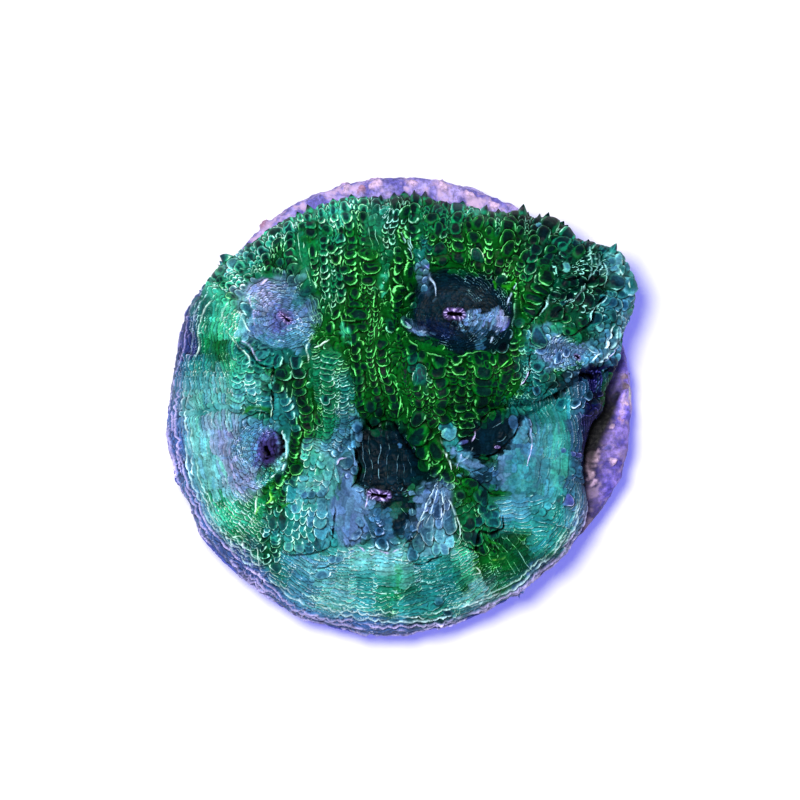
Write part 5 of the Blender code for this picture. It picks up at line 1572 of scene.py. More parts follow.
def open_mouths(grid, look):
    """The mouths: an opening that falls away into the dark, between lips with folds round them."""
    flat_x, flat_y = grid["x"].reshape(-1), grid["y"].reshape(-1)
    for number, (_, _, mouth, (lip_reach, lip_height, depth, jagged)) in enumerate(POLYPS):
        mx, my, half_length, half_width, turn = mouth
        near = np.nonzero((np.abs(flat_x - mx) < 3.0) & (np.abs(flat_y - my) < 3.0))[0]
        x, y = flat_x[near], flat_y[near]
        along, across = turned(x - mx, y - my, turn)
        uneven = jagged * lumps(x, y, 0.0, (1.0, 0.5, 74 + number), (1.0, 0.22, 70 + number))
        radius = min(half_length, half_width)
        along_rest = along - np.clip(along, radius - half_length, half_length - radius)
        across_rest = across - np.clip(across, radius - half_width, half_width - radius)
        away = np.hypot(along_rest, across_rest) - radius + uneven
        angle = np.arctan2(across_rest + 0.3 * across, along_rest + 0.3 * along)
        folds = np.cos(angle * 11.0 + 5.0 * noise(x, y, 0.0, 0.7, 80 + number))
        if jagged > 0.1:
            folds = np.clip(4.0 * np.abs(noise(x, y, 0.0, 0.5, 95)) - 1.0, -1.0, 1.0)
            cover(look, near, ease(1.3, 0.4, away / lip_reach), ("night_core", "night", "iris"))
        open_share = ease(0.02, -0.08, away)
        lips = ease(-0.06, 0.02, away) * (1.0 - ease(0.6, 1.5, away / lip_reach))
        look["lift"][near] = between(ease(1.6, 0.9, away / lip_reach), look["lift"][near], 0.0)
        look["lift"][near] += lip_height * lips * (1.0 + 0.4 * folds)
        look["lift"][near] -= depth * ease(0.02, -0.25, away)
        cover(look, near, (0.75 if jagged < 0.1 else 0.15) * lips, ("lip", "lip", "lip_edge"))
        crest = between(ease(0.2, 0.9, folds), 0.4, 1.0 if jagged < 0.1 else 0.7)
        look["crest"][near] = between(lips, look["crest"][near], crest)
        # painted shade in the hollows between the lips' folds
        look["shade"][near] *= 1.0 - 0.5 * lips * ease(0.1, -0.8, folds)
        # the opening and its deepest part are painted near black and black: painted shade in the throat
        cover(look, near, open_share, ("mouth", "mouth", "mouth"))
        deep = ease(0.02, -0.12, away)
        cover(look, near, deep, ("black", "black", "black"))
        look["crest"][near] = between(open_share, look["crest"][near], 0.3)


def hang_ribbons(grid, look):
    """The hanging margin: violet towards the edge, with wavy ribbons of skin along it that come and go."""
    x, y = grid["x"].reshape(-1), grid["y"].reshape(-1)
    margin, degrees = grid["margin"].reshape(-1), grid["degrees"].reshape(-1)
    near = np.nonzero(margin > -2.8)[0]
    x, y, margin = x[near], y[near], margin[near]
    turn = past(RIBBON_MIDDLE, degrees[near])
    arc = RIBBON_RADIUS * np.radians(turn)
    off_end = np.abs(turn) - RIBBON_HALF_TURN
    dusky = ease(4.0, -8.0, off_end)
    present = ease(4.0, -8.0, off_end + 22.0 * (turn < 0.0))
    wave = lumps(x, y, 0.0, (0.13, 0.9, 91), (0.22, 3.0, 92))
    dusk = dusky * ease(-1.9, -0.4, margin + 2.0 * wave - 1.0 * ease(15.0, 60.0, turn))
    dusk = dusk * between(ease(-55.0, -70.0, turn), 1.0, 0.4)
    cover(look, near, 0.85 * dusk, ("navy_core", "navy", "lilac"))
    narrowing = between(ease(15.0, 60.0, turn), 1.0, 0.5)
    for number, (offset, half_width, rise, name) in enumerate(RIBBONS):
        scallop = np.abs(np.sin(3.2 * arc + 2.5 * noise(arc, 0.0, 0.0, 2.0, 93 + number)))
        own = wave + lumps(x, y, 0.0, (0.05, 0.4, 100 + number), (0.1, 2.0, 110 + number))
        own = own - between(ease(-0.6, 0.6, noise(arc, 0.0, 0.0, 3.0, 130 + number)), 0.04, 0.2) * scallop
        share = 1.0 - ease(0.4, 1.6, np.abs(margin + own * narrowing - offset * narrowing) / half_width)
        share = share * present * ease(-0.5, 0.2, noise(x, y, 0.0, 1.2, 120 + number))
        look["lift"][near] += rise * share
        cover(look, near, 0.9 * share, (name, name, name))
        look["shade"][near] = between(share, look["shade"][near], 1.0)


def blurred(field, radius, times=1):
    """A square field averaged over a square window of the given radius, some times over."""
    for _ in range(times):
        for axis in (0, 1):
            margins = [(radius + 1, radius) if k == axis else (0, 0) for k in (0, 1)]
            widened = np.pad(field, margins, mode="edge")
            total = np.cumsum(widened, axis=axis)
            size = 2 * radius + 1
            high, low = np.moveaxis(total, axis, 0)[size:], np.moveaxis(total, axis, 0)[:-size]
            field = np.moveaxis((high - low) / size, 0, axis)
    return field


def smooth_over(look, x, y):
    """Melts the vesicles of the smooth patches into the skin, most of all in a patch's middle."""
    for middle_x, middle_y, half_x, half_y, turn, strength in SMOOTH_PATCHES:
        along, across = turned(x - middle_x, y - middle_y, turn)
        away = np.hypot(along / half_x, across / half_y) + 0.2 * noise(x, y, 0.0, 0.8, 141)
        share = strength * ease(1.15, 0.8, away)
        look["lift"] -= 0.85 * share * look["height"]
        look["crest"] = between(share, look["crest"], 0.5 + 0.1 * noise(x, y, 0.0, 0.3, 142))
        look["shade"] = between(share, look["shade"], 1.0 + 0.15 * noise(x, y, 0.0, 0.7, 143))


def deepen(look, strength):
    """Deepens the light and dark of the skin: each point's lightness is moved away from that of its
    neighbourhood."""
    core, flesh, edge = look["colours"]
    crest = look["crest"][:, None]
    colour = between(ease(0.68, 1.0, crest), between(ease(0.0, 0.5, crest), core, flesh), edge)
    light = colour @ np.array([0.4, 0.4, 0.2]) * look["shade"]
    around = blurred(light.reshape(GRID, GRID), 5, 2).reshape(-1)
    look["shade"] *= np.clip(1.0 + strength * (light / (around + 0.004) - 1.0), 0.25, 1.8)


def comb(x, y, away, pitch, seed):
    """Fine wavy lines at even steps of a distance: a saw, 0 to 1, rising along it, and 1 on its crests."""
    phase = (away + lumps(x, y, 0.0, (0.5, 1.4, seed), (0.16, 0.45, seed + 1))) / pitch
    saw = phase - np.floor(phase)
    return saw, ease(0.6, 0.88, saw) * (1.0 - ease(0.92, 1.0, saw))


def living_skin(seed):
    """The skin's grid with all that lies on it: lift along the normal; core, flesh and edge colours; shade,
    which holds painted shade and painted light; and crest, which goes from the core colour at 0 over the
    flesh colour at a half to the edge's at 1."""
    grid = skin_grid()
    rows = all_vesicles(seed)
    first = press(grid, rows)
    rows = np.concatenate([rows, fillers(first["height"], seed + 7)])
    found = press(grid, rows)
    x, y = grid["x"].reshape(-1), grid["y"].reshape(-1)
    which = found["which"]
    some = np.nonzero(which >= 0)[0]
    n = which[some]

    colours = zone_colours(x, y)
    shift = [0.7 * (lattice(rows[:, X], rows[:, Y], float(k), seed) - 0.5) for k in (1, 2)]
    centre = zone_colours(rows[:, X] + shift[0], rows[:, Y] + shift[1])
    own = rows[:, OWN].astype(int)
    for slot in range(3):
        painted = np.array([paint(names[slot]) for names in FLESH.values()])
        centre[slot] = np.where((own >= 0)[:, None], painted[own], centre[slot])
        kept = np.where(own >= 0, 0.55, 0.7)[n][:, None]
        colours[slot][some] = between(kept, colours[slot][some], centre[slot][n])
        colours[slot][some] *= (1.0 + 0.4 * rows[n, TONE])[:, None]
        for channel, size in enumerate((0.3, 0.16, 0.3)):
            own_hue = lattice(rows[:, X], rows[:, Y], 11.0 + channel, seed)[n] - 0.5
            colours[slot][some, channel] *= 1.0 + size * own_hue

    core, line, square = (of_kind(rows, name)[n] for name in ("core", "line", "square"))
    wide = np.where(square > 8, 0.75, 1.1)
    p, q, rim = found["p"][some], found["q"][some], found["rim"][some]
    middle = 0.5 - 0.5 * core * (1.0 - ease(0.5, 0.95, np.hypot(0.9 * (p - 0.25), q)))
    patch = lumps(x[some], y[some], 0.0, (1.0, 0.5, 51), (1.0, 1.7, 52))
    rimmed = np.maximum(1.0 - ease(0.05, 0.11, rim / wide), 0.45 - 0.45 * ease(0.03, 0.34, rim / wide))
    rimmed = ease(-0.01, 0.02, rim) * rimmed * between(ease(-0.6, 0.4, p), 0.05, 1.0) * line
    rimmed = rimmed * between(ease(-0.7, 0.7, patch), 0.6, 1.3)
    crest = np.full(len(x), 0.5)
    crest[some] = between(np.clip(rimmed, 0.0, 1.0), middle, 1.0)
    fine = np.full(len(x), 0.3)
    fine[some] = of_kind(rows, "fine")[n]
    margin = grid["margin"].reshape(-1)
    saw, ridge = comb(x, y, margin, 0.36, 43)
    angle, depth = np.radians(grid["degrees"].reshape(-1)), margin / 7.0
    round_x, round_y = ROUND * np.cos(angle), ROUND * np.sin(angle)
    streak = noise(round_x, round_y, depth, 0.42, 48) + 0.6 * noise(round_x, round_y, 0.5 * depth, 1.3, 49)
    for slot in range(3):
        colours[slot] *= (1.0 + 0.3 * fine * streak)[:, None]
    lined = fine * ease(-0.5, 0.4, noise(x, y, 0.0, 0.9, 45))
    vein = np.abs(lumps(x, y, 0.0, (1.0, 1.2, 53), (0.5, 0.5, 54)))
    crest = between(0.5 * ease(0.1, 0.03, vein) * ease(-0.2, 0.4, noise(x, y, 0.0, 1.5, 55)), crest, 1.0)
    crest = between(0.8 * lined * ridge, crest + 0.12 * noise(x, y, 0.0, 0.16, 46), 1.0)
    ribs = noise(round_x, round_y, 0.35 * depth, 1.5, 58) * ease(-9.0, -5.0, margin)
    uneven = lumps(x, y, 0.0, (0.1, 2.2, 41), (0.04, 0.5, 42), (0.02, 0.18, 47))
    # painted light and shade: lighter on the ribs, darker between them, past vesicles' rims and past each
    # fine step
    shade = (1.0 + 0.2 * ribs) * (1.0 - 0.8 * found["dark"])
    shade = shade * (1.0 - 0.5 * lined * (1.0 - ease(0.0, 0.3, saw)))
    look = {
        "height": found["height"],
        "lift": found["height"] + uneven + 0.07 * lined * saw + 0.16 * ribs,
        "crest": crest,
        "shade": shade,
        "colours": colours,
    }
    smooth_over(look, x, y)
    draw_lines(grid, look)
    open_mouths(grid, look)
    hang_ribbons(grid, look)
    look["lift"] *= ease(SIDE_RUN, SIDE_RUN - 0.5, margin)
    lift = look["lift"].reshape(GRID, GRID)
    # painted shade in the narrow and broad hollows of the lift, and painted light on its broad crests
    narrow = ease(0.02, 0.14, blurred(lift, 4, 2) - lift)
    broad = blurred(lift, 16, 2) - lift
    relief = (1.0 - 0.4 * ease(0.0, 0.3, broad)) * (1.0 + 0.3 * ease(0.0, 0.3, -broad))
    look["shade"] = look["shade"] * ((1.0 - 0.75 * narrow) * relief).reshape(-1)
    deepen(look, 1.1 * np.clip(1.0 - 1.4 * fine, 0.15, 1.0))
    return grid, look


# ---------------------------------------------------------------------------------------------------------
# Meshes
# ---------------------------------------------------------------------------------------------------------

def ring_faces(rings, columns):
    """Faces of a closed stack of rings, from the top outwards and down, with a fan of triangles to a point
    before the first ring and one after the last. Points are numbered: top, rings in order, bottom."""
    ring = np.arange(rings - 1)[:, None]
    column = np.arange(columns)[None]
    after = (column + 1) % columns
    near, far = 1 + ring * columns, 1 + (ring + 1) * columns
    last = 1 + (rings - 1) * columns
    return [
        np.stack([near + column, far + column, far + after, near + after], axis=-1).reshape(-1, 4),
        np.stack([np.zeros(columns, int), 1 + column[0], 1 + after[0]], axis=-1),
        np.stack([last + column[0], np.full(columns, last + columns), last + after[0]], axis=-1),
    ]


def sheet_faces(across, along):
    """Faces of a closed sheet. Its top has across by along points and its underside every sixth of them each
    way; walls with a many-cornered face for each step of the underside join the two. Points are numbered: the
    top, across first, then the underside."""
    top = np.arange(across * along).reshape(across, along)
    wide, deep = (across - 1) // STEP + 1, (along - 1) // STEP + 1
    low = (across * along + np.arange(wide * deep)).reshape(wide, deep)
    groups = []
    for numbers, flipped in ((top, False), (low, True)):
        quads = np.stack([numbers[:-1, :-1], numbers[1:, :-1], numbers[1:, 1:], numbers[:-1, 1:]], axis=-1)
        quads = quads.reshape(-1, 4)
        groups.append(quads[:, ::-1] if flipped else quads)
    rims = (
        (top[:, 0], low[:, 0]),
        (top[::-1, -1], low[::-1, -1]),
        (top[-1], low[-1]),
        (top[0, ::-1], low[0, ::-1]),
    )
    for fine, coarse in rims:
        steps = np.arange(len(coarse) - 1)[:, None] * STEP + np.arange(STEP + 1)[None]
        groups.append(np.concatenate([fine[steps][:, ::-1], coarse[:-1, None], coarse[1:, None]], axis=1))
    return groups


def mesh_piece(name, points, groups, colours, numbers, node, slot, flat_groups=()):
    """A piece from points in millimetres, groups of faces with the same corner count, some of them flat, and
    what is kept at each point: colours by name, and plain numbers by name."""
    mesh = bpy.data.meshes.new(name)
    corners = np.concatenate([g.reshape(-1) for g in groups]).astype(np.int32)
    sizes = np.concatenate([np.full(len(g), g.shape[1]) for g in groups]).astype(np.int32)
    starts = np.concatenate([[0], np.cumsum(sizes)[:-1]]).astype(np.int32)
    smooth = np.concatenate([np.full(len(g), k not in flat_groups) for k, g in enumerate(groups)])
    mesh.vertices.add(len(points))
    mesh.vertices.foreach_set("co", (points * MM).astype(np.float32).reshape(-1))
    mesh.loops.add(len(corners))
    mesh.loops.foreach_set("vertex_index", corners)
    mesh.polygons.add(len(sizes))
    mesh.polygons.foreach_set("loop_start", starts)
    mesh.polygons.foreach_set("loop_total", sizes)
    mesh.polygons.foreach_set("use_smooth", smooth)
    mesh.update(calc_edges=True)
    mesh.validate()
    for key, value in colours.items():
        kept = mesh.attributes.new(key, "FLOAT_COLOR", "POINT")
        filled = np.concatenate([np.clip(value, 0.0, 1.0), np.ones((len(points), 1))], axis=1)
        kept.data.foreach_set("color", filled.astype(np.float32).reshape(-1))
    for key, value in numbers.items():
        kept = mesh.attributes.new(key, "FLOAT", "POINT")
        kept.data.foreach_set("value", value.astype(np.float32))
    mesh.materials.append(shared(slot))
    obj = bpy.data.objects.new(name, mesh)
    bpy.context.scene.collection.objects.link(obj)
    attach(obj, "root")
    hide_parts(node)
    return obj


def skin_block(name, grid, look, rows, columns):
    """One block of the skin as a closed sheet, with its underside a little way below."""
    def part(values):
        return values.reshape(GRID, GRID, -1)[rows, columns]

    skin, normal = part(grid["skin"]), part(grid["normal"])
    lift = part(look["lift"])
    top = skin + normal * lift
    under = (skin + normal * (np.minimum(lift, 0.0) - SHEET_DEPTH))[::STEP, ::STEP]

    def whole(upper, lower):
        return np.concatenate([upper.reshape(-1, upper.shape[-1]), lower.reshape(-1, upper.shape[-1])])

    kept = [part(v) for v in (*look["colours"], look["crest"], look["shade"])]
    core, flesh, edge, crest, shade = (whole(v, v[::STEP, ::STEP]) for v in kept)
    return mesh_piece(name, whole(top, under), sheet_faces(top.shape[0], top.shape[1]),
                      {"core": core, "flesh": flesh, "edge": edge},
                      {"crest": crest[:, 0], "shade": shade[:, 0]},
                      "coral_colony", "coral_flesh", flat_groups=(1, 2, 3, 4, 5))


# ---------------------------------------------------------------------------------------------------------
# Materials
# ---------------------------------------------------------------------------------------------------------

class Nodes:
    """A short way to write a node tree: add makes a node, sets its values and links its inputs."""

    def __init__(self, owner):
        owner.use_nodes = True
        self.tree = owner.node_tree
        self.tree.nodes.clear()

    def add(self, kind, values=None, links=None, **settings):
        node = self.tree.nodes.new(kind)
        for key, value in settings.items():
            setattr(node, key, value)
        for key, value in (values or {}).items():
            node.inputs[key].default_value = value
        for key, socket in (links or {}).items():
            self.tree.links.new(socket, node.inputs[key])
        return node

    def mix(self, factor, first, second, blend="MIX"):
        """Colour mix: each of the three is a socket or a plain value."""
        node = self.add("ShaderNodeMix", data_type="RGBA", blend_type=blend)
        for index, value in ((0, factor), (6, first), (7, second)):
            if hasattr(value, "is_output"):
                self.tree.links.new(value, node.inputs[index])
            else:
                node.inputs[index].default_value = value
        return node.outputs[2]

    def attribute(self, name, output="Color"):
        """What is kept at each of the mesh's points under that name."""
        return self.add("ShaderNodeAttribute", attribute_name=name).outputs[output]

    def scaled(self, colour, factor):
        """A colour times a number."""
        node = self.add("ShaderNodeVectorMath", operation="SCALE", links={0: colour, "Scale": factor})
        return node.outputs[0]

    def ramp(self, socket, low, high, to_low=0.0, to_high=1.0):
        node = self.add(
            "ShaderNodeMapRange",
            {"From Min": low, "From Max": high, "To Min": to_low, "To Max": to_high},
            {"Value": socket},
            interpolation_type="SMOOTHSTEP",
        )
        return node.outputs["Result"]

    def noise(self, place, scale, detail=2.0, roughness=0.5):
        node = self.add(
            "ShaderNodeTexNoise",
            {"Scale": scale, "Detail": detail, "Roughness": roughness},
            {"Vector": place},
        )
        return node.outputs["Fac"]


def flesh_material():
    """Wet coral flesh: from the core colour over the flesh colour to the edge colour as the crest rises,
    darkened by the shade, which holds painted shade and painted light, with fine mottling, a slight gloss and
    a fine grain in its surface."""
    material = bpy.data.materials.new("coral_flesh")
    nodes = Nodes(material)
    place = nodes.add("ShaderNodeTexCoord").outputs["Object"]
    core, flesh, edge = (nodes.attribute(name) for name in ("core", "flesh", "edge"))
    crest, shade = (nodes.attribute(name, "Fac") for name in ("crest", "shade"))
    fine = nodes.noise(place, 5200.0, 3.0, 0.6)
    broad = nodes.noise(place, 900.0, 3.0, 0.55)
    inner = nodes.mix(nodes.ramp(crest, 0.0, 0.5), core, flesh)
    mottle = nodes.ramp(fine, 0.3, 0.7, 0.75, 1.25)
    blotch = nodes.ramp(broad, 0.3, 0.7, 0.8, 1.2)
    toned = nodes.scaled(nodes.scaled(inner, mottle), blotch)
    colour = nodes.scaled(nodes.mix(nodes.ramp(crest, 0.68, 1.0), toned, edge), shade)
    bump = nodes.add("ShaderNodeBump", {"Strength": 0.2, "Distance": 0.00005}, {"Height": fine})
    gloss = nodes.ramp(fine, 0.3, 0.7, 0.38, 0.55)
    shader = nodes.add(
        "ShaderNodeBsdfPrincipled",
        {"Specular IOR Level": 0.06},
        {"Base Color": colour, "Roughness": gloss, "Normal": bump.outputs[0]},
    )
    nodes.add("ShaderNodeOutputMaterial", links={"Surface": shader.outputs[0]})
    return material


def crust_material():
    """Coralline crust: violet and dark blue patches, pale pink growths and a sandy grain, over grey ceramic
    towards the disc's foot."""
    material = bpy.data.materials.new("encrusted_ceramic")
    nodes = Nodes(material)
    place = nodes.add("ShaderNodeTexCoord").outputs["Object"]
    flesh, edge, crest = nodes.attribute("flesh"), nodes.attribute("edge"), nodes.attribute("crest", "Fac")
    grain = nodes.noise(place, 3800.0, 4.0, 0.65)
    patch = nodes.noise(place, 700.0, 3.0, 0.6)
    tone = nodes.ramp(grain, 0.25, 0.75, 0.5, 1.5)
    patchy = nodes.ramp(patch, 0.35, 0.6)
    share = nodes.add("ShaderNodeMath", operation="MULTIPLY", links={0: crest, 1: patchy})
    colour = nodes.mix(share.outputs[0], nodes.scaled(flesh, tone), edge)
    bump = nodes.add("ShaderNodeBump", {"Strength": 0.5, "Distance": 0.0001}, {"Height": grain})
    rough = nodes.ramp(grain, 0.3, 0.7, 0.5, 0.85)
    shader = nodes.add(
        "ShaderNodeBsdfPrincipled",
        {"Specular IOR Level": 0.3},
        {"Base Color": colour, "Roughness": rough, "Normal": bump.outputs[0]},
    )
    nodes.add("ShaderNodeOutputMaterial", links={"Surface": shader.outputs[0]})
    return material


MATERIALS = {}


def shared(name):
    """The material of that name, made the first time it is asked for."""
    makers = {"coral_flesh": flesh_material, "encrusted_ceramic": crust_material}
    if name not in MATERIALS:
        MATERIALS[name] = makers[name]()
    return MATERIALS[name]


# ---------------------------------------------------------------------------------------------------------
# Settings
# ---------------------------------------------------------------------------------------------------------

class CoralColours(bpy.types.PropertyGroup):
    """One colour for each paint, scene-linear"""

    __annotations__ = {
        name: bpy.props.FloatVectorProperty(
            name=name.replace("_", " ").capitalize(), description=f"Colour of the paint {name}",
            default=tuple(linear(value)), size=3, min=0.0, max=1.0, subtype="COLOR")
        for name, value in PAINT.items()
    }


class CoralSettings(bpy.types.PropertyGroup):
    body_depth: bpy.props.FloatProperty(
        name="Body depth", description="How far the body lies under the skin, in mm",
        default=1.5, min=0.8, max=2.5)
    body_columns: bpy.props.IntProperty(
        name="Body columns", description="Points round the colony's body", default=240, min=60, max=600)
    disc_columns: bpy.props.IntProperty(
        name="Disc columns", description="Points round the disc", default=800, min=100, max=900)
    seed: bpy.props.IntProperty(
        name="Seed", description="Which set of small differences the vesicles get", default=4, min=0)


class StudioSettings(bpy.types.PropertyGroup):
    camera_height: bpy.props.FloatProperty(
        name="Camera height", description="Height of the camera over the floor",
        default=0.9, min=0.3, unit="LENGTH", subtype="DISTANCE")
    view_width: bpy.props.FloatProperty(
        name="View width", description="Width seen at the top of the disc",
        default=0.0658, min=0.03, unit="LENGTH", subtype="DISTANCE")
    key_power: bpy.props.FloatProperty(
        name="Key lamp", description="Power of the lamp high on the upper left, in watts",
        default=2.5, min=0.0)
    fill_strength: bpy.props.FloatProperty(
        name="Fill", description="Strength of the light from all round", default=0.26, min=0.0)


# ---------------------------------------------------------------------------------------------------------
# Operators
# ---------------------------------------------------------------------------------------------------------

class CORAL_OT_stage(bpy.types.Operator):
    """White floor, one soft lamp high on the upper left, light from all round, and the camera overhead"""

    bl_idname = "coral.stage"
    bl_label = "Stage"

    def execute(self, context):
        scene = context.scene
        studio = scene.coral_studio
        scene.view_settings.view_transform = "Standard"

        floor_mesh = bpy.data.meshes.new("floor")
        half = 1.5
        corners = [(-half, -half, 0), (half, -half, 0), (half, half, 0), (-half, half, 0)]
        floor_mesh.from_pydata(corners, [], [(0, 1, 2, 3)])
        floor = bpy.data.objects.new("floor", floor_mesh)
        floor.location = (0.0, 0.0, -0.02 * MM)
        scene.collection.objects.link(floor)
        material = bpy.data.materials.new("floor_paper")
        nodes = Nodes(material)
        rays = nodes.add("ShaderNodeLightPath")
        seen = nodes.add("ShaderNodeMath", operation="MAXIMUM",
                         links={0: rays.outputs["Is Camera Ray"], 1: rays.outputs["Is Glossy Ray"]})
        seen = nodes.add("ShaderNodeMath", operation="MAXIMUM",
                         links={0: seen.outputs[0], 1: rays.outputs["Is Transmission Ray"]})
        plain = nodes.add("ShaderNodeBsdfDiffuse", {"Color": (0.8, 0.8, 0.8, 1.0)})
        # painted blue shadow: for the camera the floor is yellowed white with a blue glow, blue where it is
        # shaded
        tinted = nodes.add("ShaderNodeBsdfDiffuse", {"Color": (1.0, 1.0, 0.45, 1.0)})
        glow = nodes.add("ShaderNodeEmission", {"Color": (0.06, 0.06, 0.75, 1.0), "Strength": 1.0})
        both = nodes.add("ShaderNodeAddShader", links={0: tinted.outputs[0], 1: glow.outputs[0]})
        chosen = nodes.add("ShaderNodeMixShader",
                           links={0: seen.outputs[0], 1: plain.outputs[0], 2: both.outputs[0]})
        nodes.add("ShaderNodeOutputMaterial", links={"Surface": chosen.outputs[0]})
        floor_mesh.materials.append(material)

        world = bpy.data.worlds.new("studio")
        scene.world = world
        nodes = Nodes(world)
        rays = nodes.add("ShaderNodeLightPath")
        fill = nodes.add("ShaderNodeBackground",
                         {"Color": (0.86, 0.9, 1.0, 1.0), "Strength": studio.fill_strength})
        white = nodes.add("ShaderNodeBackground", {"Color": (1.0, 1.0, 1.0, 1.0), "Strength": 1.0})
        mixed = nodes.add("ShaderNodeMixShader",
                          links={0: rays.outputs["Is Camera Ray"], 1: fill.outputs[0], 2: white.outputs[0]})
        nodes.add("ShaderNodeOutputWorld", links={"Surface": mixed.outputs[0]})

        lamp = bpy.data.lights.new("key", "AREA")
        lamp.shape = "DISK"
        lamp.size = 0.13
        lamp.energy = studio.key_power
        lamp.color = (1.0, 0.985, 0.96)
        key = bpy.data.objects.new("key", lamp)
        key.location = (-0.075, 0.075, 0.525)
        key.rotation_mode = "QUATERNION"
        key.rotation_quaternion = key.location.to_track_quat("Z", "Y")
        scene.collection.objects.link(key)

        lens = bpy.data.cameras.new("overhead")
        distance = studio.camera_height - DISC_THICKNESS * MM
        lens.lens = lens.sensor_width * distance / studio.view_width
        lens.clip_start, lens.clip_end = 0.05, 10.0
        camera = bpy.data.objects.new("overhead", lens)
        camera.location = (-0.00008, 0.00066, studio.camera_height)
        scene.collection.objects.link(camera)
        scene.camera = camera
        return {"FINISHED"}


class CORAL_OT_disc(bpy.types.Operator):
    """The cast frag disc with its coralline crust, roughened where it is bare"""

    bl_idname = "coral.disc"
    bl_label = "Encrusted disc"

    def execute(self, context):
        columns = context.scene.coral_colony.disc_columns
        degrees = np.arange(columns) * 360.0 / columns
        angle = np.radians(degrees)
        radius = disc_radius(degrees)
        bare = bare_share(degrees)
        top, edge_radius, flat_rings, side_rings = DISC_THICKNESS, 0.7, 48, 26
        arc = np.radians(np.linspace(0.0, 90.0, 10))[1:]
        inset = np.concatenate([np.linspace(5.5, edge_radius, flat_rings), edge_radius * (1.0 - np.sin(arc)),
                                np.zeros(side_rings), [0.1, 0.5, 6.0]])
        height = np.concatenate([np.full(flat_rings, top), top - edge_radius * (1.0 - np.cos(arc)),
                                 np.linspace(top - 0.9, 0.6, side_rings), [0.25, 0.0, 0.0]])
        away = radius[None] - inset[:, None]
        x, y = away * np.cos(angle), away * np.sin(angle)
        z = np.broadcast_to(height[:, None], x.shape)
        foot = ease(0.3, 1.2, z)
        rough = lumps(x, y, z, (0.14, 1.5, 11), (0.12, 0.6, 12), (0.07, 0.28, 13))
        rough = rough * foot * between(bare, 0.35, 1.0)
        blob_share = np.zeros(x.shape)
        blob_paint = np.broadcast_to(paint("crust_pink"), x.shape + (3,))
        for bx, by, size, rise, name in CRUST_GROWTHS:
            uneven = 0.8 * size * noise(x, y, z, 0.6 * size + 0.1, 14)
            share = 1.0 - ease(0.5, 1.1, (np.hypot(x - bx, y - by) + uneven) / size)
            rough = rough + rise * share
            blob_share = np.maximum(blob_share, share)
            blob_paint = between(share[..., None], blob_paint, paint(name))
        outwards = ease(17.2, 18.3, away)
        upwards = ease(3.5, 4.9, z)
        x, y = x + np.cos(angle) * outwards * rough, y + np.sin(angle) * outwards * rough
        z = np.maximum(z + upwards * rough, 0.0)
        body = np.stack([x, y, z], axis=-1)

        grain = lumps(x, y, z, (1.0, 0.9, 23), (0.5, 0.35, 24))
        flesh = between(ease(-0.5, 0.7, grain)[..., None], paint("crust_dark"), paint("crust"))
        flesh = flesh * between(ease(8.0, 15.0, x)[..., None], 1.0, np.array([0.98, 0.85, 1.3]))
        beyond = away - outline_at(degrees)
        # painted shade by the flesh on the right, painted light at the upper and lower right; lighter on top
        light = 1.0 - 0.7 * ease(9.0, 14.0, x) * ease(2.2, 0.6, beyond)
        light = light * (1.0 + 0.5 * ease(-4.5, -7.0, y) * ease(15.5, 17.0, x) + 0.14 * ease(9.0, 12.0, y))
        light = light * (1.0 - 0.3 * ease(17.2, 16.2, x) * ease(14.0, 15.0, x) * ease(-7.5, -6.5, y))
        light = light * between(ease(14.0, 16.0, x), 1.0, between(ease(-1.5, 1.5, y), 0.66, 3.6))
        flesh = flesh * light[..., None]
        flesh = between(ease(1.6, 0.6, z)[..., None], flesh, paint("ceramic"))
        flesh = between(blob_share[..., None], flesh, blob_paint)
        mottle = lumps(x, y, z, (1.0, 1.2, 25), (1.0, 0.4, 21), (0.6, 0.18, 22))
        speckle = 0.9 * ease(0.0, 0.8, mottle) * (1.0 - blob_share) * between(ease(6.0, 14.0, x), 1.0, 0.4)
        # painted shadow: the crust in the gap under the flesh's edge on the right is painted black
        turn = past(-6.0, degrees)
        gap_shadow = np.exp(-((turn / 17.0) ** 4)) * ease(1.9, 0.9, beyond - 0.03 * turn)
        flesh = between(gap_shadow[..., None], flesh, paint("black"))
        speckle = speckle * (1.0 - gap_shadow)
        edge = np.broadcast_to(paint("crust_pink"), flesh.shape)

        def ends(values):
            values = values.reshape(len(inset) * columns, -1)
            return np.concatenate([values[:1], values, values[-1:]])

        points = np.concatenate([[[0, 0, top]], body.reshape(-1, 3), [[0, 0, 0]]])
        mesh_piece("disc", points, ring_faces(len(inset), columns),
                   {"flesh": ends(flesh), "edge": ends(edge)}, {"crest": ends(speckle)[:, 0]},
                   "frag_disc", "encrusted_ceramic")
        return {"FINISHED"}


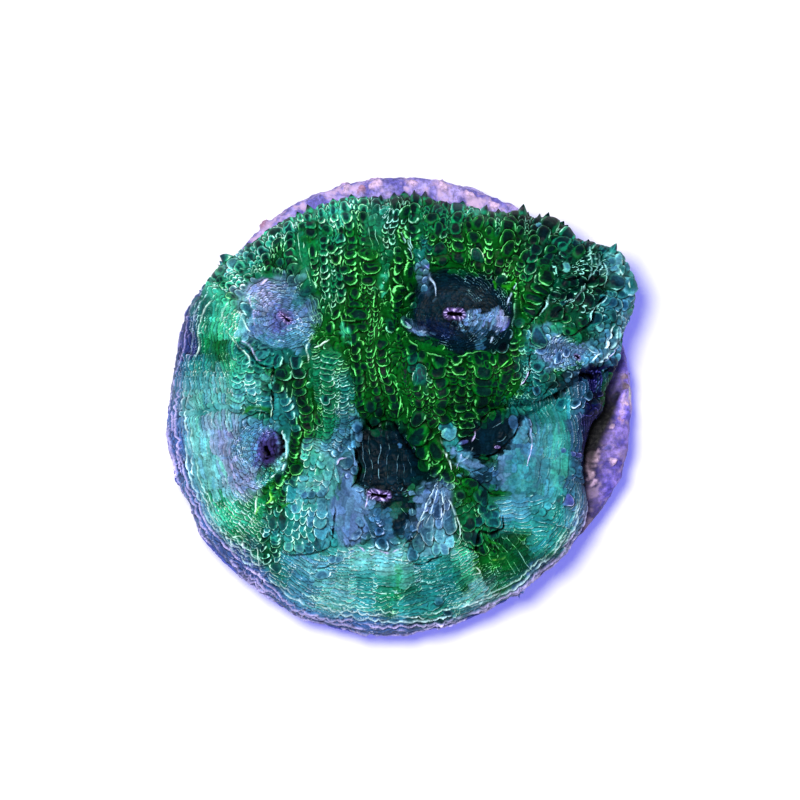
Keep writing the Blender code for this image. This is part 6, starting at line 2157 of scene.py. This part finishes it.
class CORAL_OT_body(bpy.types.Operator):
    """The colony's body: closed, a little under the skin, and flat underneath"""

    bl_idname = "coral.body"
    bl_label = "Body"

    def execute(self, context):
        settings = context.scene.coral_colony
        columns = settings.body_columns
        degrees = np.arange(columns) * 360.0 / columns
        reach = np.concatenate([np.linspace(0.02, 0.9, 45), np.linspace(0.92, 0.99, 6), [1.0, 1.3, 1.6, 2.0]])
        directions = np.broadcast_to(degrees[None], (len(reach), columns))
        skin = flesh_point(directions, np.broadcast_to(reach[:, None], directions.shape))
        away = np.hypot(skin[..., 0], skin[..., 1])
        shrink = 1.0 - 0.75 * ease(0.8, 1.0, reach)[:, None] / np.maximum(away, 1.0)
        skin[..., :2] *= shrink[..., None]
        sunk = between(ease(0.9, 0.99, reach), settings.body_depth, 0.3) * (reach < 1.25)
        skin[..., 2] -= sunk[:, None]
        bottom = DISC_THICKNESS + 0.04
        under = []
        for share, drop in ((0.98, 0.0), (0.95, 1.0), (0.5, 1.0)):
            ring = skin[-1].copy()
            ring[:, :2] *= share
            ring[:, 2] = between(drop, ring[:, 2], bottom)
            under.append(ring)
        rings = np.concatenate([skin, np.stack(under)])
        top = float(flesh_height(np.zeros(1), np.zeros(1))[0]) - settings.body_depth
        points = np.concatenate([[[0, 0, top]], rings.reshape(-1, 3), [[0, 0, bottom]]])
        x, y, z = points.T
        core, flesh, edge = zone_colours(x, y)
        angle = np.arctan2(y, x)
        crest = 0.45 + 0.25 * noise(ROUND * np.cos(angle), ROUND * np.sin(angle), z, 0.7, 151)
        shade = 0.6 + 0.3 * noise(x, y, z, 1.6, 152)
        mesh_piece("body", points, ring_faces(len(rings), columns),
                   {"core": core, "flesh": flesh, "edge": edge}, {"crest": crest, "shade": shade},
                   "coral_colony", "coral_flesh")
        return {"FINISHED"}


class CORAL_OT_skin(bpy.types.Operator):
    """The skin with its rows of vesicles, folds, oral discs and mouths, and ribboned margin, in blocks"""

    bl_idname = "coral.skin"
    bl_label = "Skin"

    def execute(self, context):
        grid, look = living_skin(context.scene.coral_colony.seed)
        wide, high = (GRID - 1) // len(SIDES), (GRID - 1) // len(LEVELS)
        for i, side in enumerate(SIDES):
            for j, level in enumerate(LEVELS):
                across = slice(i * wide, (i + 1) * wide + 1)
                along = slice(j * high, (j + 1) * high + 1)
                skin_block(f"skin_{side}_{level}", grid, look, across, along)
        return {"FINISHED"}


class CORAL_PT_panel(bpy.types.Panel):
    """Lists the coral's pieces and their settings"""

    bl_idname = "CORAL_PT_panel"
    bl_label = "Coral"
    bl_space_type = "VIEW_3D"
    bl_region_type = "UI"
    bl_category = "Coral"

    def draw(self, context):
        scene = context.scene
        for operator in OPERATORS:
            self.layout.operator(operator.bl_idname)
        for group in (scene.coral_colony, scene.coral_studio, scene.coral_colours):
            for name in group.bl_rna.properties.keys():
                if name not in ("rna_type", "name"):
                    self.layout.prop(group, name)


OPERATORS = (CORAL_OT_stage, CORAL_OT_disc, CORAL_OT_body, CORAL_OT_skin)
CLASSES = (CoralColours, CoralSettings, StudioSettings) + OPERATORS + (CORAL_PT_panel,)


def register():
    for cls in CLASSES:
        bpy.utils.register_class(cls)
    bpy.types.Scene.coral_colours = bpy.props.PointerProperty(type=CoralColours)
    bpy.types.Scene.coral_colony = bpy.props.PointerProperty(type=CoralSettings)
    bpy.types.Scene.coral_studio = bpy.props.PointerProperty(type=StudioSettings)


def unregister():
    del bpy.types.Scene.coral_studio
    del bpy.types.Scene.coral_colony
    del bpy.types.Scene.coral_colours
    for cls in reversed(CLASSES):
        bpy.utils.unregister_class(cls)


def main():
    register()
    bpy.ops.coral.stage()
    bpy.ops.coral.disc()
    bpy.ops.coral.body()
    bpy.ops.coral.skin()


if __name__ == "__main__":
    main()
